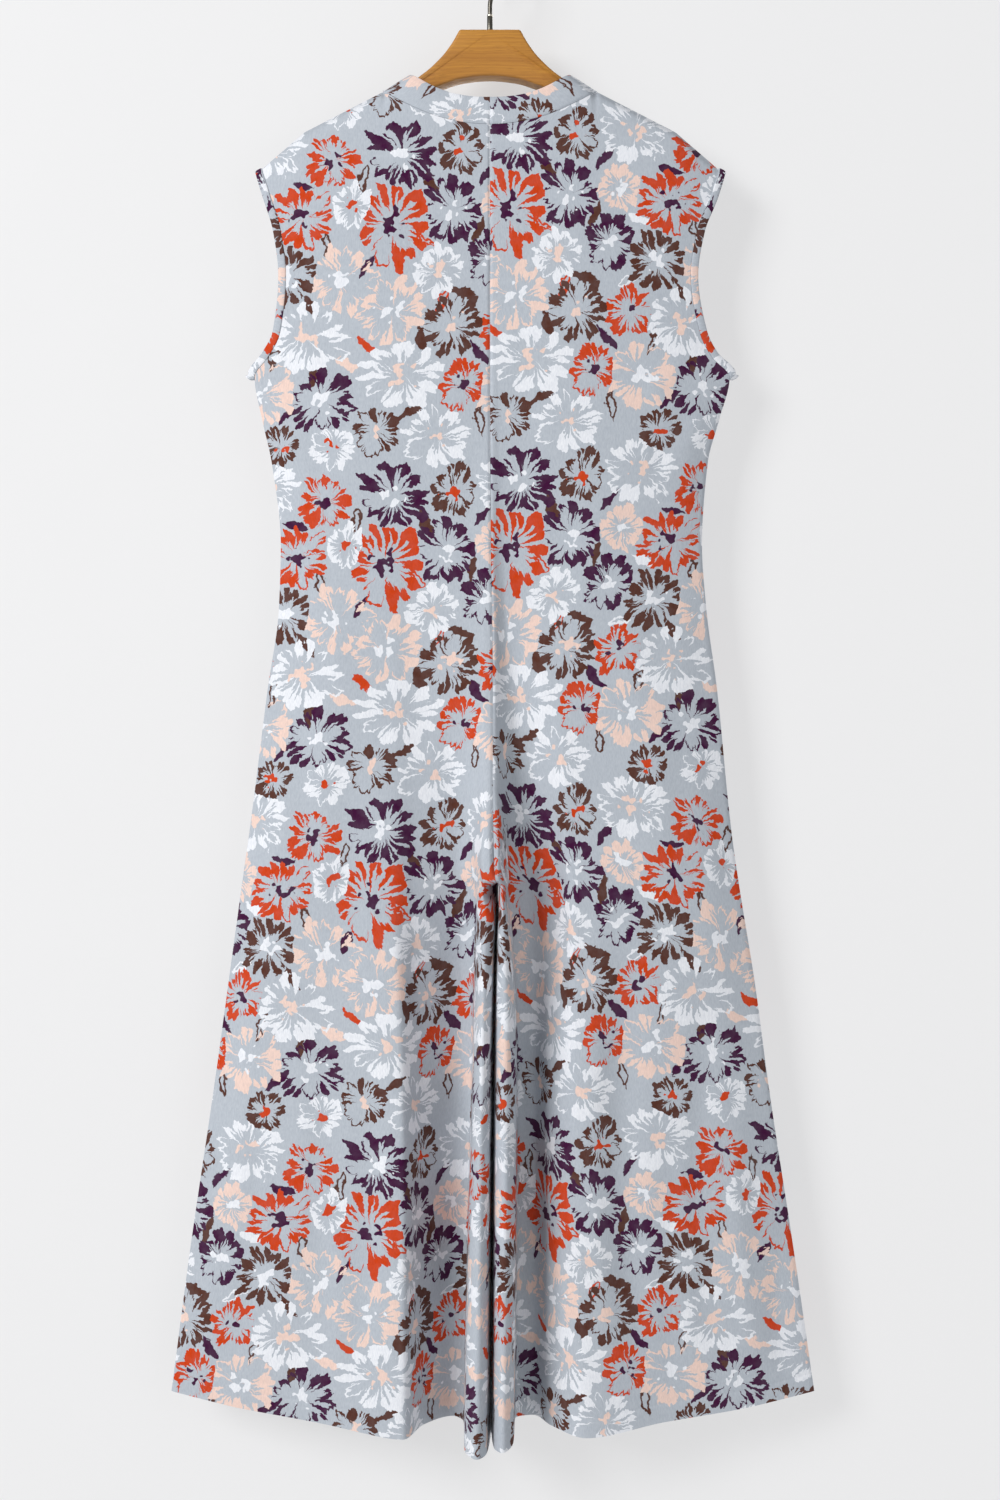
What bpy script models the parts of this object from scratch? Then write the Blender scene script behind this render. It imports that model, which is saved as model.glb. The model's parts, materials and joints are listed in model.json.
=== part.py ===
"""Sleeveless wide-leg jumpsuit hanging on a wooden hanger.

Metres, +Z up. The origin is the inside top of the hanger's hook, where the part hangs.
The garment's back faces -Y and its front faces +Y; the wearer's left is at -X.
Tables give sizes in millimetres. "drop" is how far a section lies below the top of the
hanger's wood, "across" is measured outward from the centre seam, and "proud" is how far the
outer face of the cloth stands out from the hanger's middle plane, away from the body side.
"""

import math

import bmesh
import bpy
import numpy as np

MM = 0.001

# ---------------------------------------------------------------- driving sizes, in millimetres
HOOK_TO_WOOD = 78.0          # inside top of the hook down to the top of the wood
CLOTH_WALL = 1.2             # wall of a single layer of the knit cloth
BAND_WALL = 2.2              # wall of the folded collar band and the folded bindings
SEAM_GAP = 0.3               # between neighbouring pieces at a seam
LEG_CLEARANCE = 1.6          # between the inner faces of the two legs
BINDING_WIDTH = 8.5
BINDING_PROUD = 0.5          # the binding stands this far out from the panel's face
TIP_AWAY = (0.70, -0.71)     # outward and up: the way the binding runs at the shoulder tip
TIP_INWARD = (-0.71, -0.70)  # and the way in to its lining side
UNDERARM_AWAY = (0.45, 0.89)  # the same two at the underarm
UNDERARM_INWARD = (-0.89, 0.45)
UNDERARM_SHIFT = (2.6, -0.6)  # rounds the binding's turn under the arm, outward and up

NECK_DROP = 101.0            # neckline at the centre back
NECK_CORNER_DROP = 62.4      # where neckline and shoulder seam meet
NECK_CURVE = 2.1             # exponent of the back neckline
V_DROP = 248.0               # point of the front neckline
SHOULDER_SLOPE = 0.514       # fall of the shoulder seam over the hanger's arm
CAP_SLOPE = 0.867            # fall of the shoulder seam beyond the arm
ARM_END = 193.0              # where the shoulder seam leaves the arm
COLLAR_TOP_DROP = 72.0       # top of the collar at the centre back
COLLAR_SIDE_RISE = 27.0      # how much higher the collar's top is at the side of the neck
COLLAR_SIDE_REACH = 84.0     # across, at the side of the neck
COLLAR_CURVE = 2.4
COLLAR_V_DROP = 194.0        # inner point of the collar band at the front
COLLAR_BACK_PROUD = 18.5     # free edge of the collar at the centre back
COLLAR_FRONT_PROUD = 22.0    # and at the front
COLLAR_CLOSES_FROM = 0.84    # share of the way to the side where back and front draw together
COLLAR_SIDE_ZONE = 6.0       # at the side of the neck the band lies this near the middle plane
SEAM_SHIFT_REACH = 110.0     # the columns follow the seam's sideways drift up to here, across
TOP_FADE = 190.0             # length over which the rows level out below neck and shoulder
HEM_FADE_FROM = 886.0        # the rows begin to follow the hem here
CROTCH_TURN_FROM = 870.0     # the centre edge begins to turn down into the crotch here
CROTCH_TURN = 0.5            # and how strongly it turns
LEAST_CHORD = 0.5            # shortest step between two named columns of a section

# ---------------------------------------------------------------- outline of the side
# drop, left and right reach from the middle plane, and how proud the edge of a panel is
SIDE = (
    (141, 237.0, 238.0, 0.0),      # shoulder tip
    (148, 235.0, 236.0, 3.2),
    (170, 228.0, 229.0, 6.5),      # cap
    (206, 217.0, 215.0, 9.5),
    (254, 211.0, 207.5, 11.0),     # deepest point of the armhole
    (315, 217.5, 217.5, 9.5),
    (339, 230.0, 230.0, 7.0),
    (359, 244.5, 249.0, 3.4),      # underarm
    (402, 237.0, 238.5, 1.6),
    (447, 227.0, 226.5, 1.5),
    (533, 217.5, 220.5, 1.5),      # waist
    (599, 219.5, 225.0, 1.5),
    (682, 231.0, 236.0, 1.5),      # hip
    (830, 250.0, 251.0, 1.5),
    (883, 257.5, 258.5, 1.5),      # crotch
    (992, 272.5, 276.0, 1.5),
    (1090, 286.0, 289.0, 1.5),     # knee
    (1267, 312.0, 316.0, 1.5),
    (1412, 331.0, 337.0, 2.0),     # hem
)

# ---------------------------------------------------------------- the seam down the middle
# drop, where the seam lies, and how proud the back and the front are there; from the crotch
# down it is the inseam between the legs, which back and front share
CENTRE = (
    (141, 0.0, 20.0, 23.0),
    (254, 0.0, 21.5, 23.0),
    (359, 0.0, 23.0, 24.0),
    (533, 1.0, 27.0, 25.0),
    (682, 3.0, 33.0, 26.0),
    (782, 3.0, 44.0, 27.0),
    (860, 4.0, 58.0, 25.0),
    (878, 6.0, 62.0, 12.0),
    (886, 9.0, 15.0, -15.0),
    (942, 6.0, 15.0, -15.0),
    (1032, 4.0, 14.0, -14.0),
    (1182, 2.5, 12.0, -12.0),
    (1412, 1.0, 10.0, -10.0),
)
CROTCH_ROW = 886             # drop of the crotch, where the legs part
UNDERARM_ROW = 359           # drop of the underarm, where the armhole ends

# ---------------------------------------------------------------- sections of the panels
# a row for each section: its drop, then (across, proud) for each named column
BACK_COLUMNS = (
    "fold_in", "fold_front", "fold_out", "root", "valley", "slope", "ridge", "mid", "near_side",
)
BACK_LEFT = (
    (141, (4, 20), (10, 20), (17, 20), (28, 20), (60, 19.5), (103, 13), (112.5, 0), (160, 0), (200, 0)),
    (148, (4, 20), (10, 20), (17, 20), (28, 20), (60, 20), (103, 15), (112.5, 11), (160, 10.5),
     (200, 8.5)),
    (172, (4, 20.5), (10, 20.5), (17, 20.5), (28, 20.5), (60, 20.5), (99, 19), (112.5, 17), (160, 15),
     (200, 11.5)),
    (254, (4, 21.5), (10, 21.5), (17, 21.5), (28, 21.5), (62, 22), (88, 22), (110, 21.5), (152, 19),
     (188, 15)),
    (359, (4, 23), (10, 23), (17, 23), (28, 23), (64, 23.5), (88, 23), (112, 22), (160, 18), (210, 11)),
    (533, (6, 26.5), (13, 25.5), (21, 24.5), (30.5, 24), (58.5, 23), (82.5, 22.5), (103, 22),
     (148, 18), (188, 11)),
    (682, (8, 32.5), (12.5, 31), (20.5, 28.5), (32, 25), (59.5, 21), (81, 21.5), (100.5, 23),
     (150, 22), (195, 14)),
    (782, (6, 43), (10.5, 39), (15.5, 32), (26.5, 22), (42, 17.5), (77, 22), (100.5, 26), (158, 24),
     (208, 15)),
    (878, (4.5, 62), (11.5, 60), (15, 46), (24.5, 19), (38, 11), (76, 21), (101.5, 31), (165, 26),
     (220, 17)),
    (886, (2.5, 48), (8.5, 52), (16, 42), (25, 16), (38, 10), (76.5, 21), (101.5, 31), (165, 26),
     (220, 17)),
    (942, (3, 54), (10.5, 62), (17.5, 50), (23, 10), (36, 3), (76.5, 20), (100, 36), (170, 27.5),
     (228, 19)),
    (1032, (4, 57), (11, 66), (18.5, 52), (22, 2), (35.5, -5), (72, 15), (95, 42), (174, 29),
     (238, 20)),
    (1182, (4, 60), (12.5, 71), (22, 56), (25, -5), (37.5, -10), (69.5, 13), (90.5, 49),
     (176, 30), (249.5, 20)),
    (1412, (4.5, 64), (14, 78), (26, 62), (28.5, -7), (39, -12), (68.5, 13), (89, 53),
     (180, 31), (262, 18)),
)
BACK_RIGHT = (
    (141, (4, 20), (10, 20), (17, 20), (28, 20), (60, 19.5), (103, 13), (112.5, 0), (160, 0), (200, 0)),
    (148, (4, 20), (10, 20), (17, 20), (28, 20), (60, 20), (103, 15), (112.5, 11), (160, 10.5),
     (200, 8.5)),
    (172, (4, 20.5), (10, 20.5), (17, 20.5), (28, 20.5), (60, 20.5), (99, 19), (112.5, 17), (160, 15),
     (200, 11.5)),
    (254, (4, 21.5), (10, 21.5), (17, 21.5), (28, 21.5), (62, 22), (86, 22), (108, 21.5), (150, 19),
     (186, 15)),
    (359, (4, 23), (10, 22.5), (17, 22.5), (28, 22.5), (60, 23), (84, 23), (108, 22), (160, 18),
     (212, 11)),
    (533, (4, 25), (9, 22.5), (15, 21), (27, 20.5), (51.5, 21.5), (73.5, 21.8), (96, 22), (148, 18),
     (190, 11)),
    (682, (4, 30), (8, 24), (14.5, 18), (25.5, 15), (40, 17), (54.5, 21), (79, 23), (145, 22),
     (195, 14)),
    (782, (5, 40), (9.5, 30), (14.5, 18), (21.5, 10), (38, 9), (54.5, 18), (77, 24), (150, 23),
     (205, 15)),
    (878, (4, 60), (8.5, 50), (11.5, 36), (15, 12), (36, 0), (61, 4), (84.5, 27), (155, 25),
     (215, 17)),
    (886, (1.5, 52), (4.5, 56), (7.5, 46), (11, 10), (34, -2), (62, 3), (85, 28), (155, 25),
     (215, 17)),
    (942, (3, 58), (9, 63), (16.5, 50), (19, 6), (38, -5), (62, 6), (87, 33), (160, 28), (225, 18)),
    (1032, (4, 58), (12.5, 65), (23, 50), (25.5, 4), (41.5, -8), (60, 12), (88, 38), (165, 30),
     (232, 18)),
    (1182, (3.5, 60), (13, 70), (24, 54), (27, 2), (42.5, -9), (61, 20), (91.5, 42), (170, 30),
     (245, 18)),
    (1412, (3.5, 64), (12, 76), (23, 60), (26, 0), (43.5, -6), (63.5, 24), (98, 48), (178, 32),
     (262, 18)),
)
FRONT_COLUMNS = ("turn", "lap", "fold", "slope", "ridge", "mid", "near_side")
FRONT = (
    (141, (12, 22.5), (32, 21.5), (66, 19.5), (103, 13), (112.5, 0), (160, 0), (200, 0)),
    (148, (12, 22.5), (32, 22), (66, 20.5), (103, 15), (112.5, 11), (160, 10.5), (200, 8.5)),
    (172, (12, 23), (32, 23), (66, 22.5), (99, 19.5), (112.5, 17), (160, 15), (200, 11.5)),
    (254, (12, 23), (32, 23), (66, 24), (90, 24), (111, 22), (151, 19), (187, 15)),
    (359, (12, 24), (32, 25), (66, 26), (90, 25), (112, 22), (160, 18), (211, 11)),
    (533, (12, 25), (32, 26), (64, 24), (84, 22), (104, 21), (150, 18), (190, 11)),
    (682, (12, 26), (34, 27), (66, 24), (86, 24), (106, 25), (155, 22), (198, 13)),
    (860, (12, 28), (34, 31), (66, 27), (88, 26), (110, 28), (165, 26), (215, 16)),
    (878, (6, 22), (24, 30), (62, 28), (88, 26), (110, 28), (167, 26), (218, 16)),
    (886, (2.5, 6), (10, 26), (52, 31), (86, 27), (110, 29), (168, 27), (220, 16)),
    (1032, (2.5, 8), (12, 29), (48, 35), (84, 28), (112, 31), (172, 29), (235, 18)),
    (1182, (3, 8), (13, 30), (48, 38), (84, 30), (114, 34), (176, 31), (245, 19)),
    (1412, (3.5, 8), (15, 31), (46, 40), (84, 31), (116, 38), (180, 33), (261, 20)),
)

# ---------------------------------------------------------------- the hem, a drop for each column
BACK_HEM = {
    "left": (1455, 1457, 1458, 1454, 1446, 1442, 1443, 1446, 1435, 1424, 1412),
    "right": (1449, 1451, 1452, 1447, 1440, 1439, 1441, 1446, 1435, 1425, 1412),
}
FRONT_HEM = (1455, 1452, 1446, 1447, 1444, 1441, 1433, 1424, 1412)

# ---------------------------------------------------------------- how finely the panels are divided
BACK_STEPS = (2, 1, 1, 1, 1, 1, 2, 2, 2, 2)
FRONT_STEPS = (1, 1, 1, 1, 2, 2, 1, 2)
PANEL_ROWS = (
    141, 148, 156, 172, 190, 206, 230, 254, 285, 315, 339, 359, 402, 447, 490, 533, 599, 640, 682,
    732, 782, 830, 860, 870, 878, 886, 900, 942, 992, 1032, 1090, 1182, 1267, 1340, 1412,
)

# ---------------------------------------------------------------- the hanger
WOOD_TOP_HALF = 32.0         # half the flat top of the wood
WOOD_CORNER = 5.0            # rounding of the top's corners, seen from the front
WOOD_CORNER_TURN = 72.0      # degrees that rounding turns through
WOOD_CORNER_STEPS = 4
WOOD_TOP_EDGE = ((38.5, 13.0), (47.8, 26.0), (62.4, 40.6), (77.0, 51.0), (95.0, 65.5), (114.0, 76.5))
WOOD_ARM_TIP = ((186.0, 110.0), (190.0, 115.5), (184.0, 122.0))
WOOD_LOWER_EDGE = (
    (114.0, 93.0), (77.0, 69.0), (58.0, 60.3), (32.0, 51.0), (12.0, 48.2), (0.0, 47.8),
)
WOOD_HALF_THICK = 12.0
WOOD_ARM_HALF_THICK = 6.0
WOOD_NARROWS = (60.0, 105.0)  # the thickness falls between these, across
WOOD_ROUNDING = 3.0          # rounding of the long edges
HOOK_WIRE = 2.4              # radius of the hook's wire
HOOK_BEND = 18.0             # radius of the hook, to the middle of the wire
HOOK_SOCKET = 4.0            # radius of the metal socket where the stem enters the wood
HOOK_SOCKET_HEIGHT = 3.0
HOOK_SOCKET_TAPER = 0.6      # height in which the socket narrows to the wire
HOOK_STEM = ((0.0, 14.0), (0.0, 30.0), (0.6, 35.0), (4.0, 40.5), (9.5, 46.0))
HOOK_FROM = -35.0            # degrees where the round of the hook begins
HOOK_TURN = 240.0            # degrees it turns through
HOOK_STEPS = 14
HOOK_SIDES = 12

# ---------------------------------------------------------------- colours and surface values
FINISHES = {
    "floral_knit": ((0.46, 0.50, 0.55), 0.85, 0.0),
    "wood": ((0.62, 0.37, 0.13), 0.45, 0.0),
    "steel": ((0.42, 0.40, 0.38), 0.28, 1.0),
}


# ================================================================ helpers
def soft_curve(knots, values, at):
    """A smooth curve through values at knots that never overshoots them, read at each place."""
    knots = np.asarray(knots, float)
    values = np.asarray(values, float)
    steps = np.diff(knots)
    rises = np.diff(values) / steps
    slopes = np.zeros(len(knots))
    for k in range(1, len(knots) - 1):
        before, after = rises[k - 1], rises[k]
        if before * after > 0:
            near = 2 * steps[k] + steps[k - 1]
            far = steps[k] + 2 * steps[k - 1]
            slopes[k] = (near + far) / (near / before + far / after)
    slopes[0] = rises[0]
    slopes[-1] = rises[-1]
    at = np.asarray(at, float)
    k = np.clip(np.searchsorted(knots, at, side="right") - 1, 0, len(steps) - 1)
    t = (at - knots[k]) / steps[k]
    return (
        (1 + 2 * t) * (1 - t) ** 2 * values[k]
        + t * (1 - t) ** 2 * steps[k] * slopes[k]
        + t * t * (3 - 2 * t) * values[k + 1]
        + t * t * (t - 1) * steps[k] * slopes[k + 1]
    )


def read_table(table, column, drop):
    """One plain column of a table at a drop."""
    return float(soft_curve([row[0] for row in table], [row[column] for row in table], drop))


def read_section(table, drop):
    """The (across, proud) pairs of a section table at a drop."""
    knots = [row[0] for row in table]
    pairs = np.array([row[1:] for row in table], float)
    return [
        (
            float(soft_curve(knots, pairs[:, column, 0], drop)),
            float(soft_curve(knots, pairs[:, column, 1], drop)),
        )
        for column in range(pairs.shape[1])
    ]


def unit(vector):
    """A vector made one long."""
    return vector / max(np.linalg.norm(vector), 1e-12)


def shoulder_drop(across, corner):
    """Drop of the shoulder seam, straight over the hanger's arm and steeper past its end."""
    on_arm = min(across, ARM_END) - corner
    past_arm = max(across - ARM_END, 0.0)
    return NECK_CORNER_DROP + SHOULDER_SLOPE * on_arm + CAP_SLOPE * past_arm


def neckline_drop(across, corner, front):
    """Drop of the neckline: a round curve at the back and a straight V at the front."""
    share = min(max(across / corner, 0.0), 1.0)
    if front:
        return V_DROP + (NECK_CORNER_DROP - V_DROP) * share
    return NECK_DROP + (NECK_CORNER_DROP - NECK_DROP) * share ** NECK_CURVE


# ================================================================ cloth panels
def panel_grid(side, front):
    """Points on the outer face of a panel in millimetres: rows down, columns outward."""
    table = FRONT if front else {"left": BACK_LEFT, "right": BACK_RIGHT}[side]
    steps = FRONT_STEPS if front else BACK_STEPS
    names = FRONT_COLUMNS if front else BACK_COLUMNS
    hem = FRONT_HEM if front else BACK_HEM[side]
    turn = -1 if side == "left" else 1
    face = 1 if front else -1
    side_drop = SIDE[-1][0]
    corner_place = names.index("ridge") + 1
    marks = [
        place + part / count
        for place, count in enumerate(steps)
        for part in range(count)
    ] + [len(steps)]
    marks = np.array(marks, float)
    corner = table[0][1 + names.index("ridge")][0]
    grid = []
    top_shift = None
    for drop in PANEL_ROWS:
        seam_x = read_table(CENTRE, 1, drop)
        seam_proud = read_table(CENTRE, 3 if front else 2, drop)
        pairs = [(0.0, seam_proud)] + read_section(table, drop)
        reach = read_table(SIDE, 1 if side == "left" else 2, drop)
        pairs.append((reach, read_table(SIDE, 3, drop)))
        pairs = np.array(pairs)
        chords = np.hypot(*np.diff(pairs, axis=0).T)
        knots = np.concatenate([[0.0], np.cumsum(np.maximum(chords, LEAST_CHORD))])
        places = np.interp(marks, range(len(knots)), knots)
        across = soft_curve(knots, pairs[:, 0], places)
        proud = soft_curve(knots, pairs[:, 1], places)
        if top_shift is None:
            tops = [
                neckline_drop(a, corner, front) if m <= corner_place else shoulder_drop(a, corner)
                for a, m in zip(across, marks)
            ]
            top_shift = np.array(tops) - drop
            top_shift[-1] = 0.0
            hem_shift = soft_curve(range(len(hem)), np.array(hem, float) - side_drop, marks)
        top_share = max(0.0, 1.0 - (drop - PANEL_ROWS[0]) / TOP_FADE)
        hem_share = max(0.0, (drop - HEM_FADE_FROM) / (side_drop - HEM_FADE_FROM))
        row = []
        for k, mark in enumerate(marks):
            x = seam_x * max(0.0, 1.0 - across[k] / SEAM_SHIFT_REACH) + turn * across[k]
            y = face * (proud[k] + SEAM_GAP / 2)
            if k == 0:
                x += turn * (SEAM_GAP if drop <= CROTCH_ROW else LEG_CLEARANCE) / 2
            row.append((x, y, -(drop + top_shift[k] * top_share + hem_shift[k] * hem_share)))
        grid.append(row)
    return np.array(grid), corner_place


def inward_directions(grid, side, front, corner_mark):
    """Which way is inward at each point of a grid, kept within the seams at its edges."""
    steps = FRONT_STEPS if front else BACK_STEPS
    turn = -1 if side == "left" else 1
    facing = turn * (-1 if front else 1)
    along = np.gradient(grid, axis=1)
    down = np.gradient(grid, axis=0)
    inward = np.cross(along, down) * facing
    inward /= np.linalg.norm(inward, axis=2, keepdims=True)
    rows = list(PANEL_ROWS)
    crotch = rows.index(CROTCH_ROW)
    for r in range(crotch + 1):
        if r == crotch:
            inward[r, 0] = (0.0, 0.0, 1.0)
        elif rows[r] >= CROTCH_TURN_FROM:
            rise = abs(inward[r, 0][2]) + CROTCH_TURN
            inward[r, 0] = unit(np.array((0.0, inward[r, 0][1], rise)))
        else:
            inward[r, 0] = unit(np.array((0.0, inward[r, 0][1], inward[r, 0][2])))
    corner_column = sum(steps[:corner_mark])
    for k in range(corner_column, grid.shape[1]):
        before = grid[0, max(k - 1, corner_column)]
        after = grid[0, min(k + 1, grid.shape[1] - 1)]
        run = after - before
        inward[0, k] = unit(np.array((run[2] * turn, 0.0, -abs(run[0]))))
    return inward


def walled_mesh(name, outer, inner):
    """A closed wall between two matching grids of points, given in millimetres."""
    mesh = bpy.data.meshes.new(name)
    bm = bmesh.new()
    sheets = []
    for grid in (outer, inner):
        sheets.append([[bm.verts.new(point * MM) for point in row] for row in grid])
    rows, columns = len(outer), len(outer[0])
    for sheet in sheets:
        for r in range(rows - 1):
            for c in range(columns - 1):
                bm.faces.new((sheet[r][c], sheet[r][c + 1], sheet[r + 1][c + 1], sheet[r + 1][c]))
    rim = [(0, c) for c in range(columns)]
    rim += [(r, columns - 1) for r in range(1, rows)]
    rim += [(rows - 1, c) for c in range(columns - 2, -1, -1)]
    rim += [(r, 0) for r in range(rows - 2, 0, -1)]
    for (r0, c0), (r1, c1) in zip(rim, rim[1:] + rim[:1]):
        bm.faces.new((sheets[0][r0][c0], sheets[0][r1][c1], sheets[1][r1][c1], sheets[1][r0][c0]))
    return finish_mesh(mesh, bm)


def finish_mesh(mesh, bm):
    """Turn the faces out, split them into triangles and hand the mesh over."""
    bmesh.ops.recalc_face_normals(bm, faces=bm.faces)
    if bm.calc_volume(signed=True) < 0:
        bmesh.ops.reverse_faces(bm, faces=bm.faces)
    bmesh.ops.triangulate(bm, faces=bm.faces, quad_method="SHORT_EDGE")
    bm.to_mesh(mesh)
    bm.free()
    return mesh


def add_piece(name, mesh, finish):
    """Put a mesh in the scene as a named piece with its own material."""
    colour, roughness, metallic = FINISHES[finish]
    material = bpy.data.materials.new(name)
    material.use_nodes = True
    shader = material.node_tree.nodes["Principled BSDF"]
    shader.inputs["Base Color"].default_value = (*colour, 1.0)
    shader.inputs["Roughness"].default_value = roughness
    shader.inputs["Metallic"].default_value = metallic
    mesh.materials.append(material)
    piece = bpy.data.objects.new(name, mesh)
    piece.location.z = -HOOK_TO_WOOD * MM
    bpy.context.collection.objects.link(piece)
    return piece


def make_panel(side, front):
    """One of the four panels, shoulder to hem; returns the edges its neighbours need."""
    grid, corner_mark = panel_grid(side, front)
    inward = inward_directions(grid, side, front, corner_mark)
    name = ("front_" if front else "back_") + side
    add_piece(name, walled_mesh(name, grid, grid + inward * CLOTH_WALL), "floral_knit")
    steps = FRONT_STEPS if front else BACK_STEPS
    corner_column = sum(steps[:corner_mark])
    underarm = PANEL_ROWS.index(UNDERARM_ROW)
    return {
        "neck": grid[0, : corner_column + 1],
        "armhole": grid[: underarm + 1, -1],
        "armhole_next": grid[: underarm + 1, -2],
        "armhole_inward": inward[: underarm + 1, -1],
    }


# ================================================================ collar band
def collar_top(share, front, side):
    """A point on the free edge of the collar; share is 0 at the centre and 1 at the side."""
    turn = -1 if side == "left" else 1
    x = turn * COLLAR_SIDE_REACH * share
    side_drop = COLLAR_TOP_DROP - COLLAR_SIDE_RISE
    closed = max(0.0, (share - COLLAR_CLOSES_FROM) / (1.0 - COLLAR_CLOSES_FROM))
    fold = max(0.0, 1.0 - closed ** 2) ** 0.5
    if front:
        drop = COLLAR_V_DROP + (side_drop - COLLAR_V_DROP) * share
        return np.array((x, COLLAR_FRONT_PROUD * fold, -drop))
    drop = COLLAR_TOP_DROP - COLLAR_SIDE_RISE * share ** COLLAR_CURVE
    return np.array((x, -COLLAR_BACK_PROUD * fold, -drop))


def make_collar(edges):
    """The collar: a band standing on the neckline all the way round, closed at both centres."""
    stations = []
    for side, front in (("left", False), ("left", True), ("right", True), ("right", False)):
        neck = edges[side, front]["neck"]
        corner = abs(neck[-1][0])
        pairs = [(point, collar_top(min(abs(point[0]) / corner, 1.0), front, side)) for point in neck]
        if (side == "left") == front:
            pairs.reverse()
        stations.append(pairs)
    ring = []
    for arc in stations:
        ring += arc[:-1]
    for turn_point, arc, following in zip(range(4), stations, stations[1:] + stations[:1]):
        ends = (np.array(arc[-1]) + np.array(following[0])) / 2
        place = sum(len(a) - 1 for a in stations[: turn_point + 1]) % len(ring)
        ring[place] = (ends[0], ends[1])
    outer, inner = [], []
    count = len(ring)
    for k, (base, top) in enumerate(ring):
        width = unit(top - base)
        run = ring[(k + 1) % count][0] - ring[k - 1][0]
        inward = unit(np.cross(width, run))
        at_side = abs(base[1]) <= COLLAR_SIDE_ZONE
        if (inward[2] > 0) if at_side else (inward[1] * base[1] > 0):
            inward = -inward
        foot = base + width * SEAM_GAP
        line = [foot + (top - foot) * share for share in (0.0, 0.5, 1.0)]
        outer.append(line)
        inner.append([point + inward * BAND_WALL for point in line])
    return add_piece("collar", ring_mesh("collar", outer, inner), "floral_knit")


def ring_mesh(name, outer, inner):
    """A closed band whose stations run once round; each has matching outer and inner points."""
    mesh = bpy.data.meshes.new(name)
    bm = bmesh.new()
    loops = []
    for out_line, in_line in zip(outer, inner):
        loops.append([bm.verts.new(np.array(point) * MM) for point in out_line + in_line[::-1]])
    for this, following in zip(loops, loops[1:] + loops[:1]):
        for k in range(len(this)):
            after = (k + 1) % len(this)
            bm.faces.new((this[k], following[k], following[after], this[after]))
    return finish_mesh(mesh, bm)


# ================================================================ armhole bindings
def sideways(turn, pair):
    """An (outward, up) pair as a direction in space on the side that turn gives."""
    return np.array((turn * pair[0], 0.0, pair[1]))


def make_binding(side, edges):
    """A folded strip round an armhole, sewn to the edges of the back and front panels."""
    turn = -1 if side == "left" else 1
    stations = []
    for front in (False, True):
        edge = edges[side, front]
        rows = []
        for k, point in enumerate(edge["armhole"]):
            inward = edge["armhole_inward"][k]
            before = edge["armhole"][max(k - 1, 0)]
            after = edge["armhole"][min(k + 1, len(edge["armhole"]) - 1)]
            away = unit(np.cross(after - before, inward))
            if np.dot(away, point - edge["armhole_next"][k]) < 0:
                away = -away
            rows.append((point, away, inward))
        stations.append(rows)
    back, front = stations
    tip_point = (back[0][0] + front[0][0]) / 2
    tip = (tip_point, unit(sideways(turn, TIP_AWAY)), unit(sideways(turn, TIP_INWARD)))
    under_point = (back[-1][0] + front[-1][0]) / 2
    under = (
        under_point + sideways(turn, UNDERARM_SHIFT),
        unit(sideways(turn, UNDERARM_AWAY)),
        unit(sideways(turn, UNDERARM_INWARD)),
    )
    ring = [tip] + back[1:-1] + [back[-1], under, front[-1]] + front[-2:0:-1]
    outer, inner = [], []
    for point, away, inward in ring:
        face = point - inward * BINDING_PROUD
        line = [face + away * reach for reach in (SEAM_GAP, BINDING_WIDTH / 2, BINDING_WIDTH)]
        outer.append(line)
        inner.append([spot + inward * BAND_WALL for spot in line])
    name = "armhole_binding_" + side
    return add_piece(name, ring_mesh(name, outer, inner), "floral_knit")


# ================================================================ hanger
def wood_outline():
    """Half of the wood's outline seen from the front, from the top's middle round to below."""
    points = [(0.0, 0.0), (WOOD_TOP_HALF - WOOD_CORNER, 0.0)]
    for step in range(1, WOOD_CORNER_STEPS + 1):
        angle = math.radians(90 - WOOD_CORNER_TURN * step / WOOD_CORNER_STEPS)
        points.append((
            WOOD_TOP_HALF - WOOD_CORNER + WOOD_CORNER * math.cos(angle),
            WOOD_CORNER - WOOD_CORNER * math.sin(angle),
        ))
    return points + list(WOOD_TOP_EDGE) + list(WOOD_ARM_TIP) + list(WOOD_LOWER_EDGE)


def make_wood():
    """The wooden body: its outline given a thickness that narrows along the arms."""
    half = wood_outline()
    outline = half + [(-x, drop) for x, drop in half[-2:0:-1]]
    bm = bmesh.new()
    ring = [bm.verts.new((x * MM, -WOOD_HALF_THICK * MM, -drop * MM)) for x, drop in outline]
    front = bm.faces.new(ring)
    pulled = bmesh.ops.extrude_face_region(bm, geom=[front])
    moved = [item for item in pulled["geom"] if isinstance(item, bmesh.types.BMVert)]
    bmesh.ops.translate(bm, verts=moved, vec=(0.0, 2 * WOOD_HALF_THICK * MM, 0.0))
    long_edges = [edge for edge in bm.edges if edge.verts[0].co.y == edge.verts[1].co.y]
    bmesh.ops.bevel(
        bm, geom=long_edges, offset=WOOD_ROUNDING * MM, segments=2, affect="EDGES", profile=0.5,
    )
    start, end = WOOD_NARROWS
    for vert in bm.verts:
        share = min(max((abs(vert.co.x) / MM - start) / (end - start), 0.0), 1.0)
        share = share * share * (3 - 2 * share)
        vert.co.y *= 1 + share * (WOOD_ARM_HALF_THICK / WOOD_HALF_THICK - 1)
    mesh = bpy.data.meshes.new("hanger_body")
    add_piece("hanger_body", finish_mesh(mesh, bm), "wood")


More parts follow.
